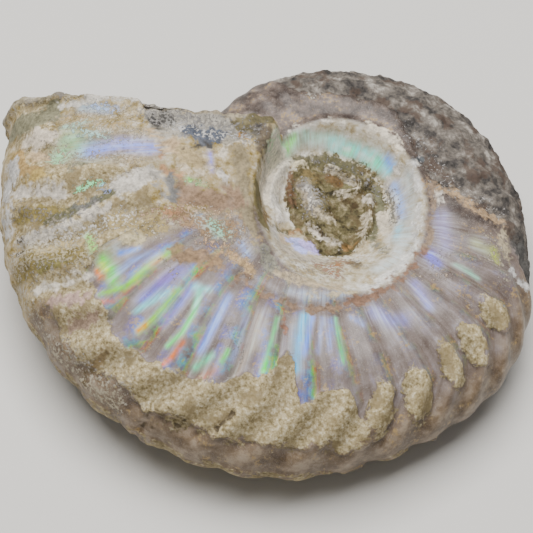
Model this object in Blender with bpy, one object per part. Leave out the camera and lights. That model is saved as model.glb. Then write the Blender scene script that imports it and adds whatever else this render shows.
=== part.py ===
# A Cleoniceras ammonite lying on its side: one coiled shell, filled with rock and grown together.
# The shell is worked out in its own frame in millimetres, with the coil axis on Z, then laid down.
# Growth angles are in degrees and run back into the coil from the broken mouth. Depth runs across
# the side of the whorl, from 0 at the outer edge (the venter) to 1 at the umbilical shoulder.

import bmesh
import bpy
import numpy as np
from mathutils import Matrix, Vector

MM = 0.001

# The coil
MOUTH_AZIMUTH = 167.3
MOUTH_RADIUS = 45.1
EXPANSION_PER_TURN = 2.433
OLDEST_GROWTH = 343.0
NEWEST_GROWTH = -4.0
OUTLINE_WEAR_STEP = 30.0
OUTLINE_WEAR = (-0.050, -0.004, 0.032, 0.044, 0.017, 0.030, -0.026, -0.018, 0.001, -0.007, -0.001, -0.003)

# The whorl's section
MOUTH_HALF_THICKNESS = 11.8
THICKENING_PER_TURN = 2.25
SHOULDER_RADIUS = 12.4
FLANK_SHARE = 0.644
FLANK_FALL = 0.08

# The broken mouth: a rough face across the rock filling, with a knob of rock at its inner end
MOUTH_FACE_Y = 8.6
MOUTH_FACE_TURN_X = -20.0
MOUTH_FACE_SKEW = 0.06
MOUTH_FACE_BEND = 0.0035
MOUTH_FACE_BULGE = 0.7
MOUTH_FACE_LUMPS = 0.35
STEP_HALF_WIDTH = 0.5
UPPER_KNOB_END_X = -5.9
LOWER_KNOB_END_X = -9.5
KNOB_SLOPE = 2.0

# The umbilicus, the hollow at the coil's centre, inside a rim that is an ellipse off the axis
RIM_CENTRE = (1.2, -2.65)
RIM_HALF_WIDTH = 11.3
RIM_HALF_LENGTH = 13.9
RIM_HEIGHT = 0.45
RIM_BAND = 0.9
GROOVE_OFFSET = 2.0
GROOVE_BAND = 0.9
GROOVE_DEPTH = 0.6
PIT_RADIUS = 8.5
PIT_EDGE_HEIGHT = 3.0
PIT_EDGE_LEAN = 0.9
PIT_LOW_GROWTH = 60.0
PIT_FLOOR_HEIGHT = 1.6
PIT_SLOPE_START = 6.2

# Ribs: low folds across the side that run forward over the outer edge
RIB_SPACING = 10.0
RIB_PHASE = 4.0
RIB_HEIGHT = 0.32
RIB_RISE = ((0.0, 0.35), (0.12, 0.8), (0.25, 1.0), (0.55, 0.8), (0.85, 0.0), (1.0, 0.0))
RIB_SWEEP = ((0.0, -8.0), (0.10, -3.0), (0.22, 1.0), (0.40, 0.0), (0.65, -2.5), (1.0, -5.0))

# What is left of the crust: how deep it reaches from the outer edge, then its last lobes on the
# ribs, each as growth angle, depth, half angle and half depth
CRUST_HEIGHT = 0.42
CRUST_REACH = ((-4, 0.20), (12, 0.22), (16, 0.60), (28, 0.64), (36, 0.60), (40, 0.22), (60, 0.19),
               (70, 0.22), (77, 0.24), (80, 0.35), (86, 0.36), (89, 0.47), (92, 0.42), (95, 0.20),
               (99, 0.28), (106, 0.30), (110, 0.08))
CRUST_LAST_GROWTH = 110.0
CRUST_LOBES = ((114.0, 0.17, 3.6, 0.11), (123.5, 0.18, 3.4, 0.13), (133.5, 0.22, 3.0, 0.15),
               (143.0, 0.25, 3.2, 0.13), (153.5, 0.26, 3.4, 0.11))

# Weathered rock where the shell has broken away from the older half, outside this radius
ROCK_EDGE = ((166.0, 31.0), (172.5, 26.1), (180.0, 24.6), (186.5, 18.1), (199.0, 13.6), (217.0, 13.0),
             (233.0, 13.8), (248.0, 15.8), (267.0, 15.0), (290.0, 15.1), (300.0, 17.2), (308.0, 21.5))
ROCK_DROP = 0.4
ROCK_LUMPS = 0.3

# Bare rock at the mouth, above this line, and the shell's broken edge beside it
MOUTH_ROCK_EDGE = ((-25.5, 10.0), (-23.5, 5.0), (-20.0, 4.2), (-17.0, 2.4), (-14.0, 2.4),
                   (-12.0, 4.2), (-9.5, 5.2), (-7.0, 8.0))
MOUTH_ROCK_LUMPS = 0.38
BROKEN_EDGE = ((-1.5, -20.5), (4.0, -23.0), (10.0, -25.5))
BROKEN_EDGE_DROP = 0.35
BROKEN_EDGE_FADE_X = -15.0

# Ridges and hollows on the side, as plan points, half width and height
SIDE_RIDGES = (
    (((-12.6, 3.2), (-11.3, 0.8), (-11.1, -3.0), (-11.0, -7.0), (-9.3, -11.0)), 1.1, 0.55),
    (((-39.0, -6.2), (-34.0, -7.0), (-29.5, -5.0)), 1.3, -0.55),
    (((-40.0, -8.4), (-35.0, -8.9), (-30.0, -7.6)), 1.0, 0.30),
    (((-22.5, -1.5), (-21.5, -4.5)), 0.9, -0.30),
    (((-19.0, -3.5), (-14.0, -4.0)), 2.2, -0.30),
    (((-25.0, -32.4), (-21.5, -31.9), (-18.0, -32.8)), 0.6, -0.45),
    (((-16.5, -34.0), (-14.0, -33.5), (-12.5, -32.3)), 0.6, -0.45),
)
SIDE_LUMPS = (
    ((-12.4, 2.4), (1.8, 2.0), 0.6),
    ((-19.0, 1.2), (3.0, 2.2), 0.5),
    ((-37.6, 5.0), (2.4, 1.6), 0.35),
    ((-39.4, -9.6), (0.9, 0.8), -0.9),
    ((-9.5, 7.2), (2.6, 2.2), 0.6),
    ((-8.0, -12.4), (1.4, 1.4), -0.3),
)

# Ridges and lumps on the floor of the pit, in the same form
PIT_RIDGES = (
    (((0.5, 6.5), (3.0, 5.6), (4.6, 4.6), (4.7, 3.4), (3.6, 2.9), (1.6, 2.8)), 0.50, 1.1),
    (((5.9, 2.2), (5.8, 0.4), (6.0, -1.2), (5.2, -3.2), (4.3, -5.4)), 0.55, 1.2),
    (((-2.0, -2.2), (-0.6, -3.6), (0.9, -4.1), (2.3, -5.2)), 0.45, 0.9),
    (((-3.0, 6.6), (-4.4, 4.5), (-4.8, 1.5), (-4.2, -1.0)), 0.50, 0.8),
    (((-6.0, 5.2), (-7.0, 2.6), (-7.2, 0.4), (-6.3, -1.7)), 1.10, 1.5),
)
PIT_LUMPS = (
    ((-2.6, 3.6), (1.7, 2.4), 1.4),
    ((-0.8, 0.2), (1.5, 2.0), 1.6),
    ((3.0, -1.5), (1.8, 2.0), -0.5),
    ((2.2, 4.3), (1.0, 0.7), -0.5),
    ((-2.7, -6.0), (2.1, 1.7), 0.8),
)

# How it lies: the coil axis leans towards the thin side, and the lowest spots are worn flat
LEAN_TO_RIGHT = 0.070
LEAN_TO_BACK = -0.035
REST_WEAR = 0.4
SMALLEST_EDGE = 0.02

# The mesh
COLUMNS = 250
MOUTH_COLUMNS = 34
UPPER_ROWS = 84
LOWER_ROWS = 46
SECTION_SAMPLES = 500
EVEN_CELL = 0.42
KEPT_TRIANGLES = 9350


def ease(value, start, end):
    share = np.clip((value - start) / (end - start), 0.0, 1.0)
    return share * share * (3.0 - 2.0 * share)


def ring_curve(angle, step, values):
    """Smooth closed curve through values that are a step of degrees apart."""
    table = np.asarray(values)
    count = len(table)
    place = np.asarray(angle) / step
    index = np.floor(place).astype(int)
    share = place - index
    before, left, right, after = (table[(index + offset) % count] for offset in (-1, 0, 1, 2))
    slope_left = (right - before) / 2.0
    slope_right = (after - left) / 2.0
    bend = 3.0 * (right - left) - 2.0 * slope_left - slope_right
    twist = slope_left + slope_right - 2.0 * (right - left)
    return left + share * (slope_left + share * (bend + share * twist))


def lumps(points, size, seed):
    """Rounded unevenness, about -1 to 1, with one rise every size millimetres or so."""
    rng = np.random.default_rng(seed)
    waves = 14
    total = np.zeros(points.shape[:-1])
    for _ in range(waves):
        direction = rng.normal(size=3)
        pace = 2.0 * np.pi / (size * rng.uniform(0.7, 1.6) * np.linalg.norm(direction))
        total += np.sin(points @ direction * pace + rng.uniform(0.0, 2.0 * np.pi))
    return np.clip(total / np.sqrt(waves), -1.4, 1.4)


def venter_radius(growth):
    """Distance from the coil axis to the outer edge of the whorl."""
    wear = ring_curve(growth, OUTLINE_WEAR_STEP, OUTLINE_WEAR)
    return MOUTH_RADIUS * EXPANSION_PER_TURN ** (-growth / 360.0) * (1.0 + wear)


def half_thickness(growth):
    return MOUTH_HALF_THICKNESS * THICKENING_PER_TURN ** (-np.maximum(growth, NEWEST_GROWTH) / 360.0)


def flank_profile(depth):
    """Share of the half thickness: a quarter ellipse over the outer part, then a slow fall."""
    outer = 1.0 - np.clip(depth / FLANK_SHARE, 0.0, 1.0)
    inner = np.clip((depth - FLANK_SHARE) / (1.0 - FLANK_SHARE), 0.0, 1.5)
    return np.sqrt(np.clip(1.0 - outer ** 2, 0.0, 1.0)) - FLANK_FALL * inner ** 2


def depth_at(radius, edge):
    return (edge - radius) / (edge - SHOULDER_RADIUS)


def rim_radius(azimuth):
    """Distance from the coil axis to the rim of the umbilicus."""
    across = np.cos(azimuth) / RIM_HALF_WIDTH
    along = np.sin(azimuth) / RIM_HALF_LENGTH
    centre_across = RIM_CENTRE[0] / RIM_HALF_WIDTH
    centre_along = RIM_CENTRE[1] / RIM_HALF_LENGTH
    square = across ** 2 + along ** 2
    mixed = across * centre_across + along * centre_along
    rest = centre_across ** 2 + centre_along ** 2 - 1.0
    return (mixed + np.sqrt(mixed ** 2 - square * rest)) / square


def mouth_face_y(x):
    past_turn = np.clip(MOUTH_FACE_TURN_X - x, 0.0, None)
    return MOUTH_FACE_Y + (MOUTH_FACE_SKEW + MOUTH_FACE_BEND * past_turn) * past_turn


def mouth_cut_radius(azimuth):
    """Distance from the coil axis to the mouth face along a ray, closed in on step by step."""
    radius = MOUTH_FACE_Y / np.sin(azimuth)
    for _ in range(40):
        radius = mouth_face_y(radius * np.cos(azimuth)) / np.sin(azimuth)
    return radius


def side_height(radius, azimuth, growth, upper):
    """Height of the side over the middle plane, with the newest part lying on the older whorl."""
    x = radius * np.cos(azimuth)
    y = radius * np.sin(azimuth)
    older = half_thickness(growth) * flank_profile(depth_at(radius, venter_radius(growth)))
    newest = half_thickness(NEWEST_GROWTH) * flank_profile(depth_at(radius, MOUTH_RADIUS))
    covered = ease(mouth_face_y(x) - y, -STEP_HALF_WIDTH, STEP_HALF_WIDTH)
    knob_end_x = UPPER_KNOB_END_X if upper else LOWER_KNOB_END_X
    covered = covered * ease(knob_end_x - x, 0.0, KNOB_SLOPE) * (growth > 180.0)
    return older + (newest - older) * covered


def path_relief(x, y, ridges):
    """Rounded ridges, or furrows where the height is negative, along paths in plan."""
    total = np.zeros(x.shape)
    for path, half_width, height in ridges:
        nearest = np.full(x.shape, np.inf)
        for (ax, ay), (bx, by) in zip(path[:-1], path[1:]):
            run_x, run_y = bx - ax, by - ay
            share = ((x - ax) * run_x + (y - ay) * run_y) / (run_x ** 2 + run_y ** 2)
            share = np.clip(share, 0.0, 1.0)
            nearest = np.minimum(nearest, np.hypot(x - ax - share * run_x, y - ay - share * run_y))
        total += height * np.exp(-(nearest / half_width) ** 2)
    return total


def lump_relief(x, y, places):
    total = np.zeros(x.shape)
    for (centre_x, centre_y), (half_x, half_y), height in places:
        away = ((x - centre_x) / half_x) ** 2 + ((y - centre_y) / half_y) ** 2
        total += height * np.exp(-away)
    return total


def pit_relief(x, y):
    """Broken walls of the oldest whorls and lumps of rock on the pit's floor."""
    inside = ease(np.hypot(x, y), PIT_RADIUS + 0.3, PIT_RADIUS - 1.2)
    return inside * (path_relief(x, y, PIT_RIDGES) + lump_relief(x, y, PIT_LUMPS))


def surface_height(radius, azimuth, growth, upper):
    """Height of the side with the umbilicus let into it."""
    rim = rim_radius(azimuth)
    at_rim = side_height(rim, azimuth, growth, upper)
    pit_edge = PIT_EDGE_HEIGHT + PIT_EDGE_LEAN * np.cos(np.radians(growth - PIT_LOW_GROWTH))
    share = np.clip((radius - PIT_RADIUS) / (rim - PIT_RADIUS), 0.0, 1.0)
    wall = pit_edge + (at_rim - pit_edge) * (share + np.sin(share * np.pi / 2.0)) / 2.0
    floor = PIT_FLOOR_HEIGHT + (pit_edge - PIT_FLOOR_HEIGHT) * ease(radius, PIT_SLOPE_START, PIT_RADIUS)
    side = side_height(radius, azimuth, growth, upper)
    height = np.where(radius > rim, side, np.where(radius > PIT_RADIUS, wall, floor))
    if upper:
        height = height + pit_relief(radius * np.cos(azimuth), radius * np.sin(azimuth))
    return height


def section(azimuth, growth, upper, rows):
    """Half of the whorl's section, from the coil axis to the outer edge, in evenly spaced rows."""
    at_mouth = growth > OLDEST_GROWTH
    share = np.linspace(0.0, 1.0, SECTION_SAMPLES)
    if at_mouth:
        radius = mouth_cut_radius(azimuth) * share
        growth = growth - 360.0
    else:
        radius = venter_radius(growth) * np.sin(share * np.pi / 2.0)
    height = surface_height(radius, azimuth, np.full(radius.shape, growth), upper)
    radius = np.append(radius, radius[-1])
    height = np.append(height, 0.0)
    length = np.append(0.0, np.cumsum(np.hypot(np.diff(radius), np.diff(height))))
    places = np.linspace(0.0, length[-1], rows)
    return np.interp(places, length, radius), np.interp(places, length, height)


def column_growths():
    """Growth angles of the columns: even round the coil, then even along the mouth face."""
    round_coil = np.linspace(NEWEST_GROWTH, OLDEST_GROWTH, COLUMNS)
    trial = np.linspace(OLDEST_GROWTH, NEWEST_GROWTH + 360.0, SECTION_SAMPLES)
    azimuth = np.radians(MOUTH_AZIMUTH + trial)
    run = -mouth_cut_radius(azimuth) * np.cos(azimuth)
    wanted = np.linspace(run[0], run[-1], MOUTH_COLUMNS + 2)[1:-1]
    return np.concatenate([round_coil, np.interp(wanted, run, trial)])


def rib_relief(growth, depth):
    """Folds that grow with the whorl, strongest on the outer half of the side."""
    sweep_at, sweep = np.transpose(RIB_SWEEP)
    rise_at, rise = np.transpose(RIB_RISE)
    phase = growth - RIB_PHASE - np.interp(depth, sweep_at, sweep)
    wave = np.cos(np.radians(phase * 360.0 / RIB_SPACING)) * np.interp(depth, rise_at, rise)
    size = half_thickness(growth) / MOUTH_HALF_THICKNESS
    return RIB_HEIGHT * wave * size * ease(growth, 345.0, 325.0)


def crust_relief(points, growth, depth):
    """Ledges of crust over the outer part of the side, broken up into lobes on the older ribs."""
    reach_at, reach = np.transpose(CRUST_REACH)
    ragged = 0.03 * lumps(points, 4.0, 5)
    share = ease(np.interp(growth, reach_at, reach) + ragged - depth, -0.015, 0.015)
    share = share * ease(depth, 0.03, 0.07) * ease(growth, CRUST_LAST_GROWTH, CRUST_LAST_GROWTH - 4.0)
    for centre, middle, half_angle, half_depth in CRUST_LOBES:
        away = np.hypot((growth - centre) / half_angle, (depth - middle) / half_depth)
        share = np.maximum(share, ease(away + 3.0 * ragged, 1.1, 0.9))
    return CRUST_HEIGHT * share


def rim_relief(radius, rim, growth):
    """The chalky band that stands round the umbilicus, and the groove outside it."""
    band = RIM_HEIGHT * np.exp(-((radius - rim) / RIM_BAND) ** 2)
    band = band * ease(growth, 70.0, 100.0) * ease(growth, 315.0, 300.0)
    groove = GROOVE_DEPTH * np.exp(-((radius - rim - GROOVE_OFFSET) / GROOVE_BAND) ** 2)
    return band - groove * ease(growth, 65.0, 90.0) * ease(growth, 215.0, 195.0)


def rock_relief(points, radius, growth):
    edge_at, edge = np.transpose(ROCK_EDGE)
    bare = ease(radius - np.interp(growth, edge_at, edge), -0.3, 0.3)
    bare = bare * ease(growth, edge_at[0], edge_at[0] + 2.0) * ease(growth, 335.0, 325.0)
    return bare * (ROCK_LUMPS * lumps(points, 3.4, 11) - ROCK_DROP)


def mouth_relief(points):
    """Bare rock behind the mouth and the step down to it from the shell's broken edge."""
    x, y = points[..., 0], points[..., 1]
    rock_x, rock_y = np.transpose(MOUTH_ROCK_EDGE)
    bare = ease(y - np.interp(x, rock_x, rock_y), -0.3, 0.5) * ease(x, rock_x[0], rock_x[0] + 0.6)
    edge_y, edge_x = np.transpose(BROKEN_EDGE)
    past_edge = ease(x - np.interp(y, edge_y, edge_x), -0.2, 0.3) * ease(y, edge_y[0] - 1.0, edge_y[0])
    past_edge = past_edge * ease(x, BROKEN_EDGE_FADE_X, BROKEN_EDGE_FADE_X - 6.0)
    near_mouth = (x < UPPER_KNOB_END_X - KNOB_SLOPE) & (y < mouth_face_y(x) + STEP_HALF_WIDTH)
    return near_mouth * (MOUTH_ROCK_LUMPS * bare * lumps(points, 2.6, 3) - BROKEN_EDGE_DROP * past_edge)


def upper_relief(points, growth, depth):
    x, y = points[..., 0], points[..., 1]
    radius = np.hypot(x, y)
    rim = rim_radius(np.arctan2(y, x))
    relief = rib_relief(growth, depth)
    relief += crust_relief(points, growth, depth)
    relief += rim_relief(radius, rim, growth)
    relief += rock_relief(points, radius, growth)
    relief += mouth_relief(points)
    return relief + path_relief(x, y, SIDE_RIDGES) + lump_relief(x, y, SIDE_LUMPS)


def lower_relief(points, growth, depth):
    """The side it lies on has the same ribs, rim and scraps of crust, and less of everything else."""
    x, y = points[..., 0], points[..., 1]
    radius = np.hypot(x, y)
    rim = rim_radius(np.arctan2(y, x))
    relief = rib_relief(growth, depth) + 0.6 * crust_relief(points, growth + 6.0, depth + 0.05)
    relief += rim_relief(radius, rim, growth) + 0.5 * rock_relief(points, radius, growth)
    in_pit = ease(radius, PIT_RADIUS + 0.8, PIT_RADIUS - 0.8)
    return relief + 0.5 * in_pit * lumps(points, 3.5, 8)


def face_relief(points, growth, azimuth):
    """Roughness and a slight bulge on the mouth's broken face."""
    height = points[..., 2] / MOUTH_HALF_THICKNESS
    radius = np.hypot(points[..., 0], points[..., 1])
    cut = mouth_cut_radius(np.where(growth > OLDEST_GROWTH, azimuth, np.pi / 2.0))
    on_face = (growth > OLDEST_GROWTH) * ease(radius, cut - 0.8, cut)
    bulge = MOUTH_FACE_BULGE * np.clip(1.0 - height ** 2, 0.0, 1.0)
    return on_face * (bulge + MOUTH_FACE_LUMPS * lumps(points, 3.0, 21))


def shell_points():
    """Rows from the upper pole to the lower pole by columns round the coil, in millimetres."""
    growths = column_growths()
    azimuths = np.radians(MOUTH_AZIMUTH + growths)
    columns = []
    for growth, azimuth in zip(growths, azimuths):
        upper_radius, upper_height = section(azimuth, growth, True, UPPER_ROWS)
        lower_radius, lower_height = section(azimuth, growth, False, LOWER_ROWS)
        radius = np.concatenate([upper_radius, lower_radius[-2::-1]])
        height = np.concatenate([upper_height, -lower_height[-2::-1]])
        columns.append(np.stack([radius * np.cos(azimuth), radius * np.sin(azimuth), height], axis=-1))
    points = np.stack(columns, axis=1)

    down = np.gradient(points, axis=0)
    along = np.roll(points, -1, axis=1) - np.roll(points, 1, axis=1)
    normals = np.cross(down, along)
    normals /= np.maximum(np.linalg.norm(normals, axis=-1, keepdims=True), 1e-9)
    normals[0] = (0.0, 0.0, 1.0)
    normals[-1] = (0.0, 0.0, -1.0)

    growth = np.broadcast_to(np.where(growths > OLDEST_GROWTH, growths - 360.0, growths), points.shape[:2])
    depth = depth_at(np.hypot(points[..., 0], points[..., 1]), venter_radius(growth))
    upper = upper_relief(points, growth, depth)
    lower = lower_relief(points, growth, depth)
    share = ease(points[..., 2], -0.5, 0.5)
    relief = lower + (upper - lower) * share
    relief = relief + face_relief(points, np.broadcast_to(growths, relief.shape),
                                  np.broadcast_to(azimuths, relief.shape))
    return points + normals * relief[..., None]


def closed_grid(points):
    """A mesh from the rows and columns, closed round the coil and at both poles."""
    rows, columns = points.shape[:2]
    bm = bmesh.new()
    top = bm.verts.new(points[0, 0])
    bottom = bm.verts.new(points[-1, 0])
    grid = [[bm.verts.new(point) for point in row] for row in points[1:-1]]
    for column in range(columns):
        after = (column + 1) % columns
        bm.faces.new((top, grid[0][column], grid[0][after]))
        bm.faces.new((bottom, grid[-1][after], grid[-1][column]))
        for row in range(rows - 3):
            bm.faces.new((grid[row][column], grid[row + 1][column],
                          grid[row + 1][after], grid[row][after]))
    mesh = bpy.data.meshes.new("ammonite")
    bm.to_mesh(mesh)
    bm.free()
    return mesh


def with_modifier(mesh, kind, **settings):
    """The mesh as one modifier leaves it."""
    holder = bpy.data.objects.new("ammonite", mesh)
    bpy.context.scene.collection.objects.link(holder)
    modifier = holder.modifiers.new(kind, kind)
    for name, value in settings.items():
        setattr(modifier, name, value)
    evaluated = holder.evaluated_get(bpy.context.evaluated_depsgraph_get())
    result = bpy.data.meshes.new_from_object(evaluated)
    bpy.data.objects.remove(holder)
    return result


def thinned(mesh):
    """The same surface in even cells, then in fewer triangles, close together where it bends."""
    even = with_modifier(mesh, "REMESH", mode="VOXEL", voxel_size=EVEN_CELL, adaptivity=0.0)
    triangles = sum(len(face.vertices) - 2 for face in even.polygons)
    return with_modifier(even, "DECIMATE", ratio=KEPT_TRIANGLES / triangles,
                         use_collapse_triangulate=True)


def lay_down(mesh):
    """Lean the shell into its resting place, wear its lowest spots flat and bring it to metres."""
    axis = Vector((LEAN_TO_RIGHT, LEAN_TO_BACK, 1.0))
    lean = Vector((0.0, 0.0, 1.0)).rotation_difference(axis).to_matrix().to_4x4()
    mesh.transform(Matrix.Scale(MM, 4) @ lean)
    bm = bmesh.new()
    bm.from_mesh(mesh)
    floor = min(vertex.co.z for vertex in bm.verts) + REST_WEAR * MM
    geometry = bm.verts[:] + bm.edges[:] + bm.faces[:]
    smallest = SMALLEST_EDGE * MM
    bmesh.ops.bisect_plane(bm, geom=geometry, dist=smallest, plane_co=(0.0, 0.0, floor),
                           plane_no=(0.0, 0.0, 1.0), clear_inner=True)
    for vertex in bm.verts:
        if vertex.co.z < floor + smallest:
            vertex.co.z = floor
    bmesh.ops.remove_doubles(bm, verts=bm.verts[:], dist=smallest)
    bmesh.ops.holes_fill(bm, edges=[edge for edge in bm.edges if edge.is_boundary])
    bmesh.ops.triangulate(bm, faces=bm.faces[:])
    corners = np.array([vertex.co for vertex in bm.verts])
    centre = (corners.min(axis=0) + corners.max(axis=0)) / 2.0
    bmesh.ops.translate(bm, verts=bm.verts[:], vec=(-centre[0], -centre[1], -floor))
    bmesh.ops.recalc_face_normals(bm, faces=bm.faces[:])
    bm.to_mesh(mesh)
    bm.free()


def pearl_material():
    """Worn mother-of-pearl under scraps of beige crust."""
    material = bpy.data.materials.new("worn mother-of-pearl and crust")
    material.use_nodes = True
    surface = material.node_tree.nodes["Principled BSDF"]
    surface.inputs["Base Color"].default_value = (0.42, 0.35, 0.28, 1.0)
    surface.inputs["Roughness"].default_value = 0.45
    surface.inputs["Metallic"].default_value = 0.0
    return material


def main():
    for existing in list(bpy.data.objects):
        bpy.data.objects.remove(existing)
    mesh = thinned(closed_grid(shell_points()))
    lay_down(mesh)
    mesh.name = "ammonite"
    mesh.materials.append(pearl_material())
    mesh.shade_smooth()
    mesh.set_sharp_from_angle(angle=np.radians(40.0))
    ammonite = bpy.data.objects.new("ammonite", mesh)
    bpy.context.scene.collection.objects.link(ammonite)


main()
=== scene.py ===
import math
from functools import partial
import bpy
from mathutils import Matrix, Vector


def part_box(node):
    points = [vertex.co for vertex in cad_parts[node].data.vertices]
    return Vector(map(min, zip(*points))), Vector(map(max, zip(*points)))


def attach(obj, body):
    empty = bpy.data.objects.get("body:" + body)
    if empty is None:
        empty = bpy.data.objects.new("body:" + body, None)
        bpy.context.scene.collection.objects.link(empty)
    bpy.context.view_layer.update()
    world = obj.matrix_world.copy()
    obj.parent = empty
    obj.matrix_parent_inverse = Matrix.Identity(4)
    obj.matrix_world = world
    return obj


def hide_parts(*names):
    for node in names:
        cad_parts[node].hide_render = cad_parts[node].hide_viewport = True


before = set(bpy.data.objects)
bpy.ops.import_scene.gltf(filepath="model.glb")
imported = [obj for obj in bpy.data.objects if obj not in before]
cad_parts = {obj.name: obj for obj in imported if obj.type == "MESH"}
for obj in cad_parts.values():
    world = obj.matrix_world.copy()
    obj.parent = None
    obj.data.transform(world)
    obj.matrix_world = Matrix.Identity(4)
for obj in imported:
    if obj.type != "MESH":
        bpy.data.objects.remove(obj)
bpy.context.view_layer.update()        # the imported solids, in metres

from types import SimpleNamespace

import bpy
import numpy as np
from mathutils import Vector, noise

# Opalescent ammonite lying on its side on a pale table.
# The shell is worked out in its own frame in mm, coil axis on Z, then leaned into its resting place.
# Growth is an angle in degrees, counted back into the coil from the mouth.
# Depth runs over the side of the whorl: 0 on the outer edge, 1 at the umbilical shoulder.

mm = 0.001


def hexColour(code):  # "#rrggbb" in sRGB to linear RGBA
    parts = [int(code[place:place + 2], 16) / 255 for place in (1, 3, 5)]
    return [part / 12.92 if part < 0.04045 else ((part + 0.055) / 1.055) ** 2.4 for part in parts] + [1.0]


def addNode(tree, kind, inputs=(), **settings):
    made = tree.nodes.new(kind)
    for name, value in settings.items():
        setattr(made, name, value)
    sockets = [socket for socket in made.inputs if socket.enabled]
    named = {socket.name: socket for socket in reversed(sockets)}
    for place, value in inputs.items() if isinstance(inputs, dict) else enumerate(inputs):
        socket = named[place] if isinstance(place, str) else sockets[place]
        if isinstance(value, bpy.types.Node):
            value = next(output for output in value.outputs if output.enabled)
        if isinstance(value, bpy.types.NodeSocket):
            tree.links.new(value, socket)
        elif value is not None:
            socket.default_value = value
    return made


# The coil: a log spiral with its whorl's section, made by Geometry Nodes

coil = {
    "mouthAzimuth": 167.3,
    "mouthRadius": 45.1,
    "expansion": 2.433,         # growth of the radius in one turn
    "oldest": 343.0,
    "newest": -4.0,
    "halfThickness": 11.8,      # at the mouth
    "thickening": 2.25,         # in one turn
    "shoulder": 12.4,
    "flankShare": 0.644,        # share of the side that is rounded over
    "flankFall": 0.08,
    "ribSpacing": 10.0,
    "ribPhase": 4.0,
    "ribHeight": 0.34,
    "ribsFadeFrom": 345.0,      # the ribs fade out on the oldest whorl
    "ribsFadeTo": 325.0,
    "faceY": 8.6,               # line of the broken mouth
    "faceTurnX": -20.0,
    "faceSkew": 0.06,
    "faceBend": 0.0035,
    "faceInnerX": -15.1,
    "faceOuterX": -36.8,
    "faceShare": 0.12,          # share of the columns that run along the mouth
    "columns": 720,
    "rows": 260,
}
ribRise = ((0, 0.35), (0.12, 0.8), (0.25, 1), (0.55, 0.8), (0.85, 0), (1, 0))
ribSweep = ((0, -8), (0.10, -3), (0.22, 1), (0.40, 0), (0.65, -2.5), (1, -5))
sweepRange = (-8.0, 2.0)


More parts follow.
